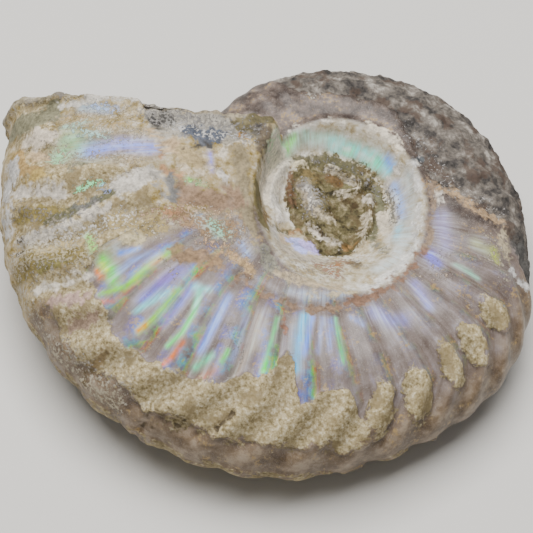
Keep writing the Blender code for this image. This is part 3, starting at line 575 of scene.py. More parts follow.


# What covers the shell, painted as strokes in plan: path in mm, half width, colour

groovePath = (
    (13.3, 2.4), (13.1, -2), (12.7, -6), (11.6, -9.2), (10, -11.7), (8.2, -13.7), (6, -15.6),
    (3, -17.1), (0, -18.1), (-3, -18.8), (-6, -18.4), (-9, -17.1), (-12, -15.2),
)
stains = (  # matt minerals with a ragged edge, later ones over earlier ones
    # the weathered end beside the mouth
    (((-40.6, 8.4), (-38, 7.6), (-35.8, 8.8)), 1.5, "#77745c"),
    (((-34.6, 9), (-30, 9.4), (-25.6, 8.8)), 0.6, "#c9c3b8"),
    (((-40.3, 3.8), (-39.2, 1), (-37.8, -0.4)), 1, "#a08351"),
    (((-38.4, 2.6), (-36.8, 1.6)), 0.9, "#b79f7b"),
    (((-38.9, -1.1), (-36.8, -1)), 0.6, "#ac9355"),
    (((-38.6, 4.7), (-36.5, 4.4)), 1.1, "#c6b9a6"),
    (((-33.6, -0.5), (-31.8, -0.4)), 0.45, "#86836a"),
    (((-40.9, 2.6), (-41.4, -2), (-41, -6.5)), 0.6, "#bdbab6"),
    (((-40, -2.2), (-37, -2.9), (-34.6, -3.8)), 0.8, "#bab1a4"),
    (((-27.8, -3.9), (-25.6, -3), (-23.6, -1.6)), 1.4, "#bfb8ac"),
    (((-39, -5.4), (-36.6, -6.2), (-35, -6.8)), 1.2, "#7a6c38"),
    (((-34.8, -7.7), (-32.4, -6.9), (-30.2, -5.5), (-29, -4.9)), 0.75, "#58573f"),
    (((-31.8, -6.3), (-30.4, -5.5)), 0.35, "#5f615b"),
    (((-39.6, -8.6), (-36, -9.4), (-32.6, -8.5), (-28.6, -6.6)), 0.55, "#c2b9aa"),
    (((-38.6, -12.2), (-34.6, -12.4), (-32, -12.6)), 1.5, "#7b6c3a"),
    (((-36.2, -10.8), (-31.6, -11)), 0.5, "#b8a577"),
    (((-36.6, -13.4), (-33.8, -13.2)), 0.55, "#79703f"),
    (((-27.4, -8.6), (-24.6, -9.4), (-22.4, -9.2)), 1.2, "#a39063"),
    (((-26.2, -10.6), (-23.8, -11)), 0.5, "#c2b48f"),
    (((-36.4, -15.3), (-33.2, -15.6), (-30.6, -15.2)), 0.55, "#c3baab"),
    (((-34.8, -17.8), (-31, -18.2)), 0.6, "#ab8f84"),
    (((-31.8, -21), (-29.6, -20.4)), 0.7, "#86705f"),
    (((-39.7, -9), (-39.3, -10)), 0.32, "#37322c"),
    # beside the broken shell edge and under the rock of the mouth
    (((-24.8, 8.6), (-23.6, 4.8), (-21.6, 0.9)), 0.34, "#cbc2b4"),
    (((-22.8, 4.2), (-21.2, 3), (-20.4, 1.6)), 1, "#b89e7b"),
    (((-20.4, 0.4), (-19, -1.1), (-17, -1.3), (-16.1, 0.8)), 0.35, "#cbbca4"),
    (((-19.2, 1.2), (-17.6, 0.6)), 1, "#a8956f"),
    (((-22.8, 0.8), (-21.8, -1.2), (-19.4, -2)), 0.4, "#a8805c"),
    (((-14.6, 1.8), (-13.6, 3.4), (-11.6, 3.6)), 0.6, "#c6bba8"),
    (((-14.4, -0.6), (-13.6, -2.2)), 0.5, "#cbc4ba"),
    (((-12.6, 2.2), (-11.8, -1), (-11.5, -4), (-11.3, -7), (-10, -10)), 0.9, "#887b5f"),
    (((-19.4, -4.2), (-16.4, -4.8), (-13.4, -4.4)), 1.45, "#8a705a"),
    (((-19.6, -7.4), (-16, -8.8), (-12.6, -8.4)), 1.2, "#967a5a"),
    (((-22.8, -1.8), (-21.9, -4.6)), 0.55, "#8f8a82"),
    (((-20.7, -2.2), (-20.6, -5)), 0.22, "#6a6a6a"),
    (((-19.6, -12.9), (-16.6, -12.8), (-14.6, -13.6)), 1.1, "#8f7456"),
    (((-14, -11.8), (-12.2, -12.8), (-10.4, -14.4)), 0.8, "#b4966b"),
    (((-8.7, -11.2), (-8, -13.4)), 0.95, "#858272"),
    # the rock in the mouth
    (((-22.8, 7.2), (-18, 6.4), (-13.4, 6.2)), 1.9, "#a09a8e"),
    (((-22.4, 4.6), (-20.6, 4.9)), 1, "#a8a194"),
    (((-14.4, 4), (-12.4, 4.6), (-11, 5.4)), 0.9, "#9c9484"),
    # the knob's dark olive below, painted darker as shade
    (((-10, 5.8), (-9.4, 4)), 1, "#6d675b"),
    (((-18, 4.6), (-16.2, 3.6), (-15.4, 4.6)), 1.2, "#575d69"),
    # painted shade: two pores drawn as near-black spots
    (((-18.2, 2.3), (-17.9, 2)), 0.25, "#2c2c2e"),
    (((-15.9, 2.7), (-15.5, 2.6)), 0.25, "#2c2c2e"),
    (((-23.4, 6.6), (-23, 5.4)), 0.3, "#3b3a38"),
    (((-21.8, 7.2), (-21.2, 6.4)), 0.3, "#4a4844"),
    (((-11.8, 5.1), (-11.4, 4.6)), 0.3, "#a5773a"),
    (((11.2, 5.2), (11.9, 5.6)), 0.6, "#4f5355"),
    # painted shade in the gap beside the knob, then the knob's top, its dark olive painted darker as shade
    (((-8.2, 7.4), (-8.8, 4.8), (-9.6, 3.2)), 0.6, "#574c3f"),
    (((-11.4, 7.2), (-8.8, 8)), 1.4, "#655c3e"),
    (((-24.6, 9), (-18, 8.6), (-12, 8.4)), 0.5, "#978b74"),
    # cracks in the crust and worn spots on the flank
    (((-25, -32.4), (-21.5, -31.9), (-18, -32.8)), 0.1, "#4d412f"),
    (((-16.5, -34), (-14, -33.5), (-12.5, -32.3)), 0.1, "#4d412f"),
    (((-31, -26.4), (-28, -25)), 0.5, "#6d5c3f"),
    (((-6.6, -20.8), (-6, -22.2)), 0.3, "#8f6650"),
    # torn nacre at the edge of the old rock
    (((12.6, 2), (15.6, 0.4), (18.6, -1.8), (21.8, -3.4)), 0.75, "#a68b6a"),
    (((14, -0.2), (14.4, -1.2)), 0.6, "#c8bfb2"),
    (((22.2, -5), (22.4, -6.8), (23, -8.8)), 0.5, "#a99b80"),
    (((23.6, -9.9), (24.6, -10.8), (26, -11.2)), 0.35, "#cfccc8"),
    (((24.8, -6), (26, -8.8)), 1.2, "#4e4c49"),
    # the chalky rim round the umbilicus
    (((-5.2, 9.6), (-3, 10.8), (0, 11.2), (2.6, 10.8)), 0.1, "#cdc5b6"),
    (((5, 10.4), (6.8, 9.9), (8.6, 8.5), (9.6, 6.6)), 0.6, "#cfc4b0"),
    (((8.4, 4.3), (9.6, 4.7), (11, 4.6)), 0.45, "#cdc6bb"),
    (((10.8, 4.2), (11.5, 2), (11.6, -1), (11.3, -4.4), (10.7, -7.6)), 0.25, "#cecbc6"),
    (((10.2, -9), (9.2, -10.6), (7.6, -12.4)), 0.62, "#d0cdc6"),
    (((7.6, -12.4), (6.2, -13.8), (4.4, -15.2)), 0.72, "#cfcbc3"),
    (((2.4, -16.2), (-0.6, -16.8), (-3.2, -17)), 0.4, "#b9aa88"),
    # rusty dirt in the groove
    (groovePath[:4], 0.40, "#8d7863"),
    (groovePath[3:9], 0.40, "#80614c"),
    (groovePath[8:], 0.55, "#866d57"),
    # the near wall of the umbilicus
    (((-7, -9), (-4, -9.6), (-1, -9.2)), 1, "#b9ad9a"),
    (((3, -9.4), (3.6, -9.9)), 0.5, "#786746"),
    (((-6.4, -14.4), (-2.8, -15.4), (0.6, -15.2)), 0.7, "#b3a183"),
    (((6.6, -5.8), (7.2, -7.4)), 0.5, "#8b8468"),
)
pitStains = (  # in the hollow, where the innermost whorls are worn open
    # painted shadow: the dark olive and brown wall under the lip's overhang
    (((-9.4, -1.8), (-9.4, -4), (-8.7, -6.6)), 0.9, "#675d37"),
    (((-8.2, -2.6), (-7.8, -5)), 0.75, "#7a6133"),
    (((-7, -4.4), (-5.4, -3.7), (-3.6, -3)), 0.5, "#5c5334"),
    # the pale crescent of an inner whorl, its cream painted lighter against the shade under the lip
    (((-6, 5.8), (-7.3, 3), (-7.7, 0.5)), 1.5, "#e2d8c6"),
    (((-6.6, 0.2), (-6.1, -2.1)), 0.75, "#e6dfd3"),
    (((-4.7, 5), (-4.9, 2.6), (-4.4, 0.4)), 0.4, "#6a4f38"),
    (((-3.6, 7), (0, 7.6), (3.6, 6.8)), 0.8, "#57523a"),
    (((-2.3, 5.2), (-1.7, 4.2)), 0.7, "#786640"),
    (((-3, 3), (-2, 1.6), (-1.8, 0.4)), 0.8, "#a0937f"),
    (((-2.6, 2.8), (-2, 2.3)), 0.35, "#cbc5bb"),
    (((-1.9, 1.1), (-1.6, 0.4)), 0.3, "#c9c2b6"),
    (((-1.4, -0.8), (0.2, -1.4), (0.9, -1.3)), 0.45, "#c5b79d"),
    (((-3.9, 6.2), (-2.8, 6.6)), 0.28, "#cdbf9f"),
    (((0.8, 5.2), (2.3, 4.5)), 0.8, "#6a5130"),
    (((2.7, 3.6), (3.1, 4.2)), 0.45, "#6b6745"),
    # painted shadow: a dark brown spot on the floor of the hollow
    (((2.8, 1.7), (4.2, 1)), 0.6, "#3a2b13"),
    (((0.3, 6.2), (2.4, 5.3), (3.9, 4.4), (4.4, 3.4), (3.6, 2.5), (1.6, 2.4)), 0.24, "#d2c5ae"),
    (((5.6, 2.1), (6, 1)), 0.42, "#cabfae"),
    (((5.6, -0.7), (5.3, -2.3), (4.7, -3.7)), 0.42, "#cdbfa6"),
    (((-2.3, -2.3), (-0.9, -4.2), (0.9, -4.6), (2.3, -5.8)), 0.2, "#d4c9b7"),
    (((2.5, -5.7), (3.6, -5.1)), 0.35, "#8d6d42"),
    (((6.8, 3.4), (7.4, 1.4), (6.9, -1.8), (5.9, -4.4)), 0.5, "#66644b"),
    (((7.7, -0.8), (7.9, -3.4)), 0.65, "#c5b8a2"),
    (((-7.2, -4.9), (-6.8, -7.2)), 0.7, "#cbc4ba"),
    (((-5.6, -4.9), (-5.8, -7.2)), 0.45, "#bda88f"),
    (((-4.6, -3.8), (-3.5, -3.4)), 0.3, "#8d6b43"),
    (((-4, -5.4), (-3.2, -7)), 1.05, "#aeb4f0"),
    (((-2.5, -5.9), (-1.8, -7)), 0.85, "#bcaeea"),
)
glows = (  # soft lights in the mother-of-pearl: path, half width, colour, strength
    (((-35.4, 1), (-33.6, 3.4), (-31.6, 2)), 1.7, "#9ed2aa", 0.9),
    (((-32.4, 8.4), (-29.4, 7.6)), 0.8, "#a3c2dd", 0.7),
    (((-34.6, 5.4), (-31.4, 6.2)), 0.5, "#9dd2c6", 0.8),
    (((-31, 1.6), (-27, 2.4), (-23.4, 1.8)), 1.4, "#99a4e8", 1),
    (((-31.4, -0.4), (-27.5, 0.2)), 1.1, "#a19d88", 0.7),
    (((-32.6, -3.7), (-31, -3), (-29.6, -2.9)), 0.42, "#8fecaa", 1),
    (((-29.2, -3.5), (-28.6, -4.4)), 0.4, "#9cb6f4", 0.9),
    (((-37, -3.3), (-34.2, -3.8)), 0.45, "#bfa6a6", 0.6),
    (((-30.6, -10.4), (-30, -11.9)), 0.4, "#a6e070", 1),
    (((-29.4, -11), (-27.4, -11.8)), 0.9, "#9da3a4", 0.8),
    (((-28.8, -13.4), (-27.8, -14.6), (-27.4, -16.8)), 0.85, "#86e67e", 1),
    (((-29.6, -14.6), (-28.9, -15.6)), 0.4, "#f2a27c", 1),
    (((-29, -13.8), (-28.4, -14.6)), 0.35, "#d9ee7a", 0.9),
    (((-26.8, -12.6), (-24.6, -12)), 0.42, "#86a6f2", 1),
    (((-26.6, -15), (-25.4, -13.8), (-22.6, -13)), 0.7, "#9bb0e6", 0.9),
    (((-29.8, -19), (-27.4, -18.8), (-25.6, -17.4), (-24.4, -16)), 0.36, "#ee9c88", 1),
    (((-29, -18), (-26, -17.2), (-23.8, -15), (-21, -12.9), (-19.6, -12.2)), 0.38, "#a8ec72", 1),
    (((-22.9, -14.5), (-21.6, -13.4)), 0.4, "#df9c80", 0.85),
    (((-33.4, -18), (-30.4, -18.8)), 0.7, "#b98f88", 0.75),
    (((-23.8, -18.6), (-21.2, -16.4), (-19.4, -14.9)), 0.95, "#9697e2", 0.95),
    (((-21.8, -16.6), (-20.6, -15.6)), 0.6, "#a48fe0", 0.7),
    (((-24.6, -20.2), (-22.6, -19.2), (-21, -18)), 0.55, "#8fd6da", 0.95),
    (((-24.2, -22.8), (-22.6, -21.4), (-20.4, -18.8), (-19.2, -17.4)), 0.38, "#aeea7c", 1),
    (((-24.3, -22.7), (-23.3, -22)), 0.36, "#efa954", 0.95),
    (((-21.2, -21.6), (-19, -18.8), (-17.8, -16.8)), 0.65, "#979fe8", 0.95),
    (((-20.6, -24.6), (-18.8, -23), (-17.6, -20.6), (-16.8, -17.6)), 0.42, "#86ec96", 1),
    (((-17.4, -19.6), (-17, -18)), 0.4, "#a9f0d8", 0.9),
    (((-21.4, -27), (-20, -26), (-18.8, -24.2)), 0.4, "#ee9a78", 1),
    (((-17.4, -17), (-15.8, -17.4)), 0.6, "#8fdcdc", 0.85),
    (((-17, -26.9), (-15.4, -25.8)), 0.65, "#84e0b4", 0.95),
    (((-16.6, -24.8), (-15, -21.8), (-13.4, -18.2)), 0.7, "#90a6f0", 1),
    (((-16.4, -28.4), (-14.8, -27.6)), 0.7, "#cd9079", 0.8),
    (((-12.9, -26.4), (-11.8, -23.6), (-11, -20)), 0.5, "#a9b4e2", 0.8),
    (((-14, -26.6), (-13.3, -25.2)), 0.36, "#8cea8c", 1),
    (((-12.2, -28), (-11, -25.2)), 0.5, "#a1917f", 0.7),
    (((-8.9, -27.4), (-8.2, -24.4), (-7.3, -20.6)), 0.34, "#92e6a4", 1),
    (((-9, -27.7), (-8.6, -26.4)), 0.36, "#80f07c", 1),
    (((-10.2, -24.6), (-9.4, -20.4)), 0.75, "#a29585", 0.75),
    (((-6.6, -25), (-5.8, -21.6)), 0.6, "#9c93a0", 0.6),
    (((-4.9, -27.2), (-4.7, -23.6), (-3.9, -20)), 0.75, "#86c8f0", 1),
    (((-3.9, -25), (-2.9, -20)), 0.4, "#9aaeff", 1),
    (((-2.2, -24.6), (-1.6, -20)), 0.4, "#a4b4e8", 0.8),
    (((0.9, -25.6), (0.3, -22.6), (0, -20)), 0.32, "#8ee89e", 1),
    (((-0.8, -24.4), (-0.5, -20.2)), 0.4, "#98b2f4", 0.8),
    (((2, -19.6), (3.4, -20.6)), 0.5, "#a7baf0", 0.85),
    (((5, -18.6), (7, -19.8), (8.8, -19.2)), 1.2, "#9fa4e4", 0.8),
    (((10.2, -14), (12, -17.2)), 0.8, "#a3a4ea", 0.8),
    (((12.4, -9.4), (13.2, -10.8)), 1, "#9b9cf0", 0.95),
    (((14.2, -3.4), (14.6, -8)), 1.3, "#a9a5d0", 0.8),
    (((15.6, -10.8), (18.6, -12.4)), 0.36, "#98d4ba", 0.8),
    (((18.4, -7.4), (20.6, -8.4)), 0.9, "#b9c08c", 0.7),
    (((20.8, -7.8), (21.4, -9.4)), 0.45, "#c8d66e", 0.8),
    # on and round the wall of the hollow: opal colours, those on the far wall painted lighter than they are
    # against the shade there
    (((-8, 4), (-6.2, 6.6), (-4.4, 8.6)), 0.8, "#d8ffe6", 1),
    (((-7.6, 4.6), (-6.4, 6.4), (-5.2, 7.8)), 0.45, "#b4ffb0", 1),
    (((-5.2, 8), (-4.2, 9.1)), 0.4, "#a8f59a", 1),
    (((-3, 9.5), (0, 9.7), (2.4, 9.2)), 0.35, "#9af0c8", 0.9),
    (((-3.4, 9.2), (0, 9.6), (2, 9.2)), 0.7, "#daf3ea", 0.9),
    (((1, 9.2), (4, 8.5), (6.4, 7.2), (8.2, 5.2)), 0.75, "#9df8f4", 1),
    (((2.6, 8.6), (3.6, 8.4)), 0.36, "#92ffcc", 1),
    (((5.8, 7.1), (7, 6.3)), 0.5, "#8cffd8", 1),
    (((7.9, 6.6), (8.6, 5.4)), 0.5, "#8fb2fa", 0.95),
    (((8.9, 3.2), (9.6, 1), (9.8, -2)), 0.6, "#aec6ff", 1),
    (((8.9, -5.6), (9.3, -3.4)), 0.7, "#9fdaf5", 0.9),
    (((9.6, -6), (8.4, -9.6), (6, -11.4)), 1.1, "#cfd9dc", 0.85),
    (((10.3, 4), (10.9, 0), (10.5, -4), (9.7, -7)), 0.7, "#b3bcc0", 0.8),
    (((-5.6, -16.6), (-1.6, -17.2), (1.6, -16.4)), 0.7, "#b6c4da", 0.75),
    # painted highlights: white flashes on the wall of the hollow
    (((1, 9.1), (3.2, 8.6)), 0.24, "#effff8", 0.9),
    (((-6.8, 5.8), (-5.6, 7.4)), 0.3, "#effff2", 0.9),
    (((4.6, 8), (6.2, 7)), 0.24, "#e6fffb", 0.9),
    (((8.7, 2.6), (9.3, 0.6)), 0.22, "#e8f2ff", 0.9),
    (((-16, 1.8), (-15.7, -0.6)), 0.4, "#a9a7ee", 1),
    (((-18.7, -2.1), (-17.4, -2.4), (-16.6, -2.5)), 0.36, "#a4f07e", 1),
    (((-17.2, -7), (-16.4, -7.6)), 0.45, "#9dc4ee", 0.9),
    (((-15.8, -8), (-14.4, -8.8), (-15, -9.8)), 0.5, "#98dcd2", 0.85),
    (((-11.8, -10.4), (-11, -12.2)), 0.7, "#a6b8e4", 0.85),
)
dust = (  # crumbs strewn over everything: path, half width, colour, share that they cover
    (((-35, 6.4), (-31, 6.4), (-27, 6.6)), 1.4, "#a38f58", 0.75),
    (((-31.6, 1), (-28.4, 0.6), (-25.6, -0.4)), 1.1, "#97804f", 0.7),
    (((-36, 3), (-33.6, 0.4)), 1.3, "#a39560", 0.6),
    (((-30.6, 4.4), (-25.4, 4)), 1.2, "#b3a484", 0.6),
    (((-40, -4.6), (-35, -7.6)), 1, "#63562e", 0.7),
    (((-33.6, -7.4), (-30, -5.2)), 0.9, "#47463c", 0.6),
    (((-39, -9.6), (-32.6, -9.8), (-26, -7.6)), 1.3, "#d6d0c6", 0.6),
    (((-38, -11.6), (-31.6, -13)), 1.6, "#544a28", 0.65),
    (((-37.6, -11), (-31.6, -12.4)), 1.6, "#cdbd8f", 0.5),
    (((-27.6, -8.4), (-22.6, -9.6)), 1.2, "#d2c4a0", 0.55),
    (((-24, -7.6), (-20.6, -7)), 0.9, "#b57f3c", 0.55),
    (((-20.4, -7.2), (-16.6, -8.4), (-12.6, -9.6)), 1.6, "#9a6534", 0.7),
    (((-17.4, -7.2), (-15.6, -9.2), (-12.2, -8.8)), 1, "#b9d9d8", 0.4),
    (((-18.6, -6.2), (-13, -6.6)), 0.8, "#c9a06c", 0.55),
    (((-16.6, -10.8), (-12.6, -12), (-10.4, -14)), 1.1, "#c79756", 0.6),
    (((-23.6, 7.8), (-20.4, 6)), 1.3, "#cdc7bd", 0.55),
    (((-24.4, 7), (-21.4, 6.4)), 1.2, "#5a5751", 0.4),
    (((10.6, 9.8), (12.6, 7.2), (13.6, 4.2)), 1.7, "#c5c2bc", 0.3),
    (((14, 2.4), (18, 0), (22, -1.6)), 1.5, "#b5afa4", 0.35),
    (((-20, 5.4), (-15, 4.8), (-11.6, 4.6)), 1.1, "#d4d3cf", 0.6),
    (((-22.6, 7), (-18.4, 7), (-14, 6.2), (-10.6, 5.8)), 1.6, "#4d4a43", 0.55),
    (((-8.8, -11.2), (-8, -13.4)), 1, "#4f5048", 0.5),
    (((-1.4, -10.6), (0.6, -12.6), (0.6, -10)), 1.3, "#9a6638", 0.8),
    (((2.6, -8.8), (1, -9.8)), 1, "#9c6c3c", 0.7),
    (((-6.6, -10), (-3.6, -12), (-5, -14)), 1.3, "#b59a72", 0.5),
    (((3, -9.2), (4, -10)), 0.8, "#4f4128", 0.6),
    (((-3, -12.6), (-2, -13.4)), 0.7, "#6d6a5a", 0.5),
    (((8.4, 2.8), (8.9, 0.4), (8.9, -2.4)), 0.55, "#5d5a44", 0.7),
    (((6.4, -5.6), (7.4, -7.6)), 0.8, "#5f5a42", 0.5),
    (((-3, 3.4), (-1.8, 2.2), (-1, 0.2)), 0.8, "#cfc8bb", 0.5),
    (((-3.6, 3), (-0.6, 1.4), (-2, -0.6)), 1.4, "#3f3a33", 0.55),
    (((-1, 7.4), (4.6, 5.6), (6.6, 3)), 1.2, "#3f3d2c", 0.5),
    (((13, -11), (14.4, -12.6), (11, -13)), 0.9, "#a88962", 0.5),
    (((14, -9.4), (20, -9.6)), 0.6, "#a08a66", 0.5),
    (((20.4, -6), (21.6, -9), (22.6, -12)), 1.2, "#b3a179", 0.5),
    (((-21.6, -13.6), (-20, -15.6)), 0.6, "#8d775c", 0.5),
    (((-13, -22), (-11.8, -26)), 0.7, "#8d7a66", 0.4),
    (((-40.8, -11), (-38.6, -17.6), (-35.2, -22.2), (-31, -26.6), (-26.4, -29.4)), 1.6, "#b1a486", 0.78),
    # sparks of pearl that show through the crust
    (((-32.6, -3.7), (-31, -3), (-29.6, -2.9)), 0.5, "#86e89f", 0.95),
    (((-29.2, -3.5), (-28.4, -4.2)), 0.5, "#93aff2", 0.7),
    (((-30.8, -10.2), (-30.1, -12.2)), 0.5, "#9ce065", 0.9),
    (((-18.8, -2.1), (-17.4, -2.4), (-16.4, -2.5)), 0.45, "#98ee70", 0.95),
    (((-33, 4.6), (-29.4, 3.4)), 0.7, "#9fd8d0", 0.6),
    (((-31, 8.4), (-28.4, 7.6)), 0.7, "#9ab9ea", 0.7),
    (((-15.6, -8), (-14.2, -9.4)), 0.6, "#7fd8b0", 0.7),
)


paint = {
    "stainRagged": 0.75, "pitRagged": 0.3, "fromCoarse": 0.6,
    "overlap": 0.2,             # mm round a stroke that already take its colour
    "farOff": -9.0,
    "plain": "#9d9795",
    "sharpness": 0.9, "flicker": 0.25,
    "offFace": (0.1, -0.35),    # mm over which the strokes stop at the broken face
    "overFace": (9.4, 10.4),    # height over which they run on above it
    "facePull": 3,
    "stainsAbove": 0.5,
}


def paintStains(at, strokes, ragged):
    field, tint = np.full(at.x.shape, paint["farOff"]), np.zeros((len(at.x), 4))
    torn = ragged * (paint["fromCoarse"] * at.coarse + at.medium + at.fine)
    for path, halfWidth, colour in strokes:
        here = halfWidth - pathDistance(at, path) + torn
        tint[(here > -paint["overlap"]) | (here > field)] = hexColour(colour)
        field = np.maximum(field, here)
    return field, tint


def paintSoftly(at, strokes):
    tint = np.tile(hexColour(paint["plain"]), (len(at.x), 1))
    tint[:, 3] = 0
    for path, halfWidth, colour, strength in strokes:
        share = strength * np.exp(-(pathDistance(at, path) / halfWidth) ** 2 * paint["sharpness"])
        share = np.clip(share * (1 + paint["flicker"] * at.fine), 0, 1)[:, None]
        tint = tint * (1 - share) + np.array(hexColour(colour)) * share
    return tint


hollowEdge = (  # how far the dark floor of the hollow reaches: by azimuth, in mm
    (0, 7.9), (30, 8.6), (60, 8.2), (90, 8.2), (120, 7.2), (150, 5.9), (180, 5.2), (215, 4.9),
    (240, 4.9), (262, 7.6), (285, 7.9), (300, 7.3), (315, 6.7), (330, 7.2), (345, 7.2), (360, 7.9),
)
fire = {  # strength of the rainbow on the ribs: by growth, and by depth
    "along": ((30, 0), (38, 1), (98, 0.9), (108, 0.3), (116, 0.12), (165, 0.15), (178, 0)),
    "across": ((0.12, 0), (0.22, 1), (0.66, 1), (0.8, 0.35), (0.92, 0)),
}
bareEdges = {  # where each tone of the bare shell begins, with the tearing of its edge in mm
    "wornUntil": 37, "wornRagged": 0.6,         # growth
    "shelfFrom": 178, "shelfRagged": 1.5,       # growth
    "venterWidth": 2.4, "venterRagged": 0.5,    # mm from the outer edge
    "wallUntil": 180, "wallBelow": 0.4,         # growth, and mm below the rim before it
    "pitCoarse": 0.5, "pitMedium": 0.4,
}


def keepMasks(mesh, points):  # what the material reads, kept on the shell's points
    at = surveyShell(points)
    masks = {"rock": rockField(at), "face": faceField(at), "ribs": ribTurns(at), "depth": at.depth}
    masks["crust"] = np.where(at.upper > 0.5, crustField(at, at.growth, at.depth), crustBelow(at))
    hollowAt, hollow = np.transpose(hollowEdge)
    hollowRadius = np.interp(np.degrees(at.azimuth) % 360, hollowAt, hollow)
    inPit = np.where(at.z > 0, hollowRadius, umbilicus["darkBelow"]) - at.radius
    masks["pit"] = inPit + bareEdges["pitCoarse"] * at.coarse + bareEdges["pitMedium"] * at.medium
    below = at.rim - at.radius
    masks["wall"] = np.where(at.growth > bareEdges["wallUntil"], below, below - bareEdges["wallBelow"])
    worn = np.radians(bareEdges["wornUntil"] - at.growth) * at.radius
    masks["worn"] = worn + bareEdges["wornRagged"] * at.coarse
    shelf = np.radians(at.growth - bareEdges["shelfFrom"]) * at.radius
    masks["shelf"] = shelf + bareEdges["shelfRagged"] * at.coarse
    venter = bareEdges["venterWidth"] - at.depth * at.width
    masks["venter"] = venter + bareEdges["venterRagged"] * at.coarse
    alongAt, along = np.transpose(fire["along"])
    acrossAt, across = np.transpose(fire["across"])
    masks["fire"] = np.interp(at.growth, alongAt, along) * np.interp(at.depth, acrossAt, across)

    # the strokes stop at the edge of the broken face, and run on over its top
    field, stainTint = paintStains(at, stains, paint["stainRagged"])
    pitField, pitTint = paintStains(at, pitStains, paint["pitRagged"])
    stainTint = np.where((pitField > field)[:, None], pitTint, stainTint)
    offFace = np.maximum(ease(masks["face"], *paint["offFace"]), ease(at.z, *paint["overFace"]))
    field = np.maximum(field, pitField) - paint["facePull"] * (1 - offFace)
    masks["stain"] = np.where(at.z > paint["stainsAbove"], field, paint["farOff"])
    tints = {"glowTint": paintSoftly(at, glows), "dustTint": paintSoftly(at, dust)}
    for tint in tints.values():
        tint[:, 3] *= ease(at.z, 0, 1) * offFace
    tints["stainTint"] = stainTint

    for name, values in masks.items():
        kept = mesh.attributes.new(name, "FLOAT", "POINT")
        kept.data.foreach_set("value", values.astype(np.float32))
    for name, values in tints.items():
        kept = mesh.attributes.new(name, "FLOAT_COLOR", "POINT")
        kept.data.foreach_set("color", values.astype(np.float32).ravel())
    print("strokes painted on", len(points), "points")


# Mother-of-pearl, with what has grown and dried on it

nacre = {
    "grain": ("#544a45", "#685f5a", "#79706c", "#8b8587"),
    "rainbow": ((0.00, "#6f6da8"), (0.16, "#6c8bd0"), (0.30, "#72b4c8"), (0.38, "#6cc97a"), (0.44, "#a5bf58"),
                (0.50, "#b07055"), (0.56, "#695a4d"), (0.84, "#665f68"), (1.00, "#6f6da8")),
    "rainbowStrength": 0.55,
    "rainbowShift": 0.6,        # how far the noise turns the hue, in turns of the rainbow
    "rainbowSlant": 0.25,       # turns of the rainbow from the outer edge to the shoulder
    "linesPerRib": 7.0,         # growth lines, the finest that still show in the picture
    "lineBreaks": 2.4,
    "saturation": 1.36,
    "glow": 0.9,
    # painted highlight on the brightest growth lines
    "paintedHighlight": "#e4f4ee",
    "speck": "#a08c6c",
    "scratch": "#c9c4c0",
    "roughness": 0.46, "specular": 0.28,
    "coat": 0.14, "coatRoughness": 0.22,
    "striaeBump": 0.05,
    # painted shade on the ribs, on the bare shell and on the crust
    "ribPaintedShade": 0.15, "ribPaintedShadeEnd": (0.1, 0.55),
    "crustRibPaintedShade": 0.2,
}
mineral = {  # what the stains and the dust have besides their colours, bumps in mm
    "stainTorn": 2.0, "stainRoughness": 0.78, "stainBump": 0.12,
    "dustGathers": 0.22, "dustRoughness": 0.85, "dustBump": 0.08,
}
patterns = {  # size in mm, detail, roughness and distortion of each noise
    "patches": (2.2, 4, 0.6, 0),
    "grain": (2.4, 6, 0.6, 0),
    "specks": (0.5, 4, 0.7, 0),
    "scratches": (0.9, 2, 0.5, 3),
    "ragged": (0.55, 3, 0.6, 0),
    "stains": (0.5, 5, 0.65, 0),
    "dust": (0.42, 3, 0.7, 0),
}
shares = {  # what a noise or a mask has to pass for each of these to start, and to be at its full
    "rainbow": {"From Min": 0.44, "From Max": 0.58, "To Min": 0.05},
    "specks": {"From Min": 1.12, "From Max": 1.22, "To Max": 0.7},
    "scratches": {"From Max": 0.012, "To Min": 0.35, "To Max": 0.0},
    "streaks": {"From Min": 0.38, "From Max": 0.55, "To Min": 0.45},
    # where the painted highlight shows on the growth lines
    "paintedHighlights": {"From Min": 0.50, "From Max": 0.64, "To Max": 0.3},
    "blotches": {"From Min": 0.52, "From Max": 0.60, "To Max": 0.75},
    "stainShade": {"From Min": 0.95, "From Max": 1.55, "To Min": 0.5, "To Max": 1.32},
    "stains": {"From Min": -0.25, "From Max": 0.3, "To Max": 0.92},
    "dust": {"From Min": 0.64, "From Max": 0.70},
}
bases = (
    # mask, softness in mm, colours from dark to light, grain in mm and roughness of the bare shell itself:
    # the outer edge worn to brown and painted darker still as shade, smooth brown shell beside the old rock,
    # the sandy weathered end beside the mouth, and the pale chalky wall of the hollow, painted lighter
    # against the shade in it
    # painted shade: the brown outer edge darker than its own colour
    ("venter", 1.6, ("#52463a", "#675a4c", "#7b6e60", "#918577"), 2.0, 0.46),
    ("shelf", 1.0, ("#372f2b", "#4d4540", "#665c56", "#827872"), 2.2, 0.62),
    ("worn", 1.2, ("#6f6142", "#8f8265", "#a79b83", "#c0b9ad"), 1.1, 0.7),
    # painted light: the wall's chalk lighter than its own colour, against the shade in the hollow
    ("wall", 0.5, ("#8f836c", "#b0a692", "#c4beb1", "#d6d3cc"), 1.4, 0.5),
)
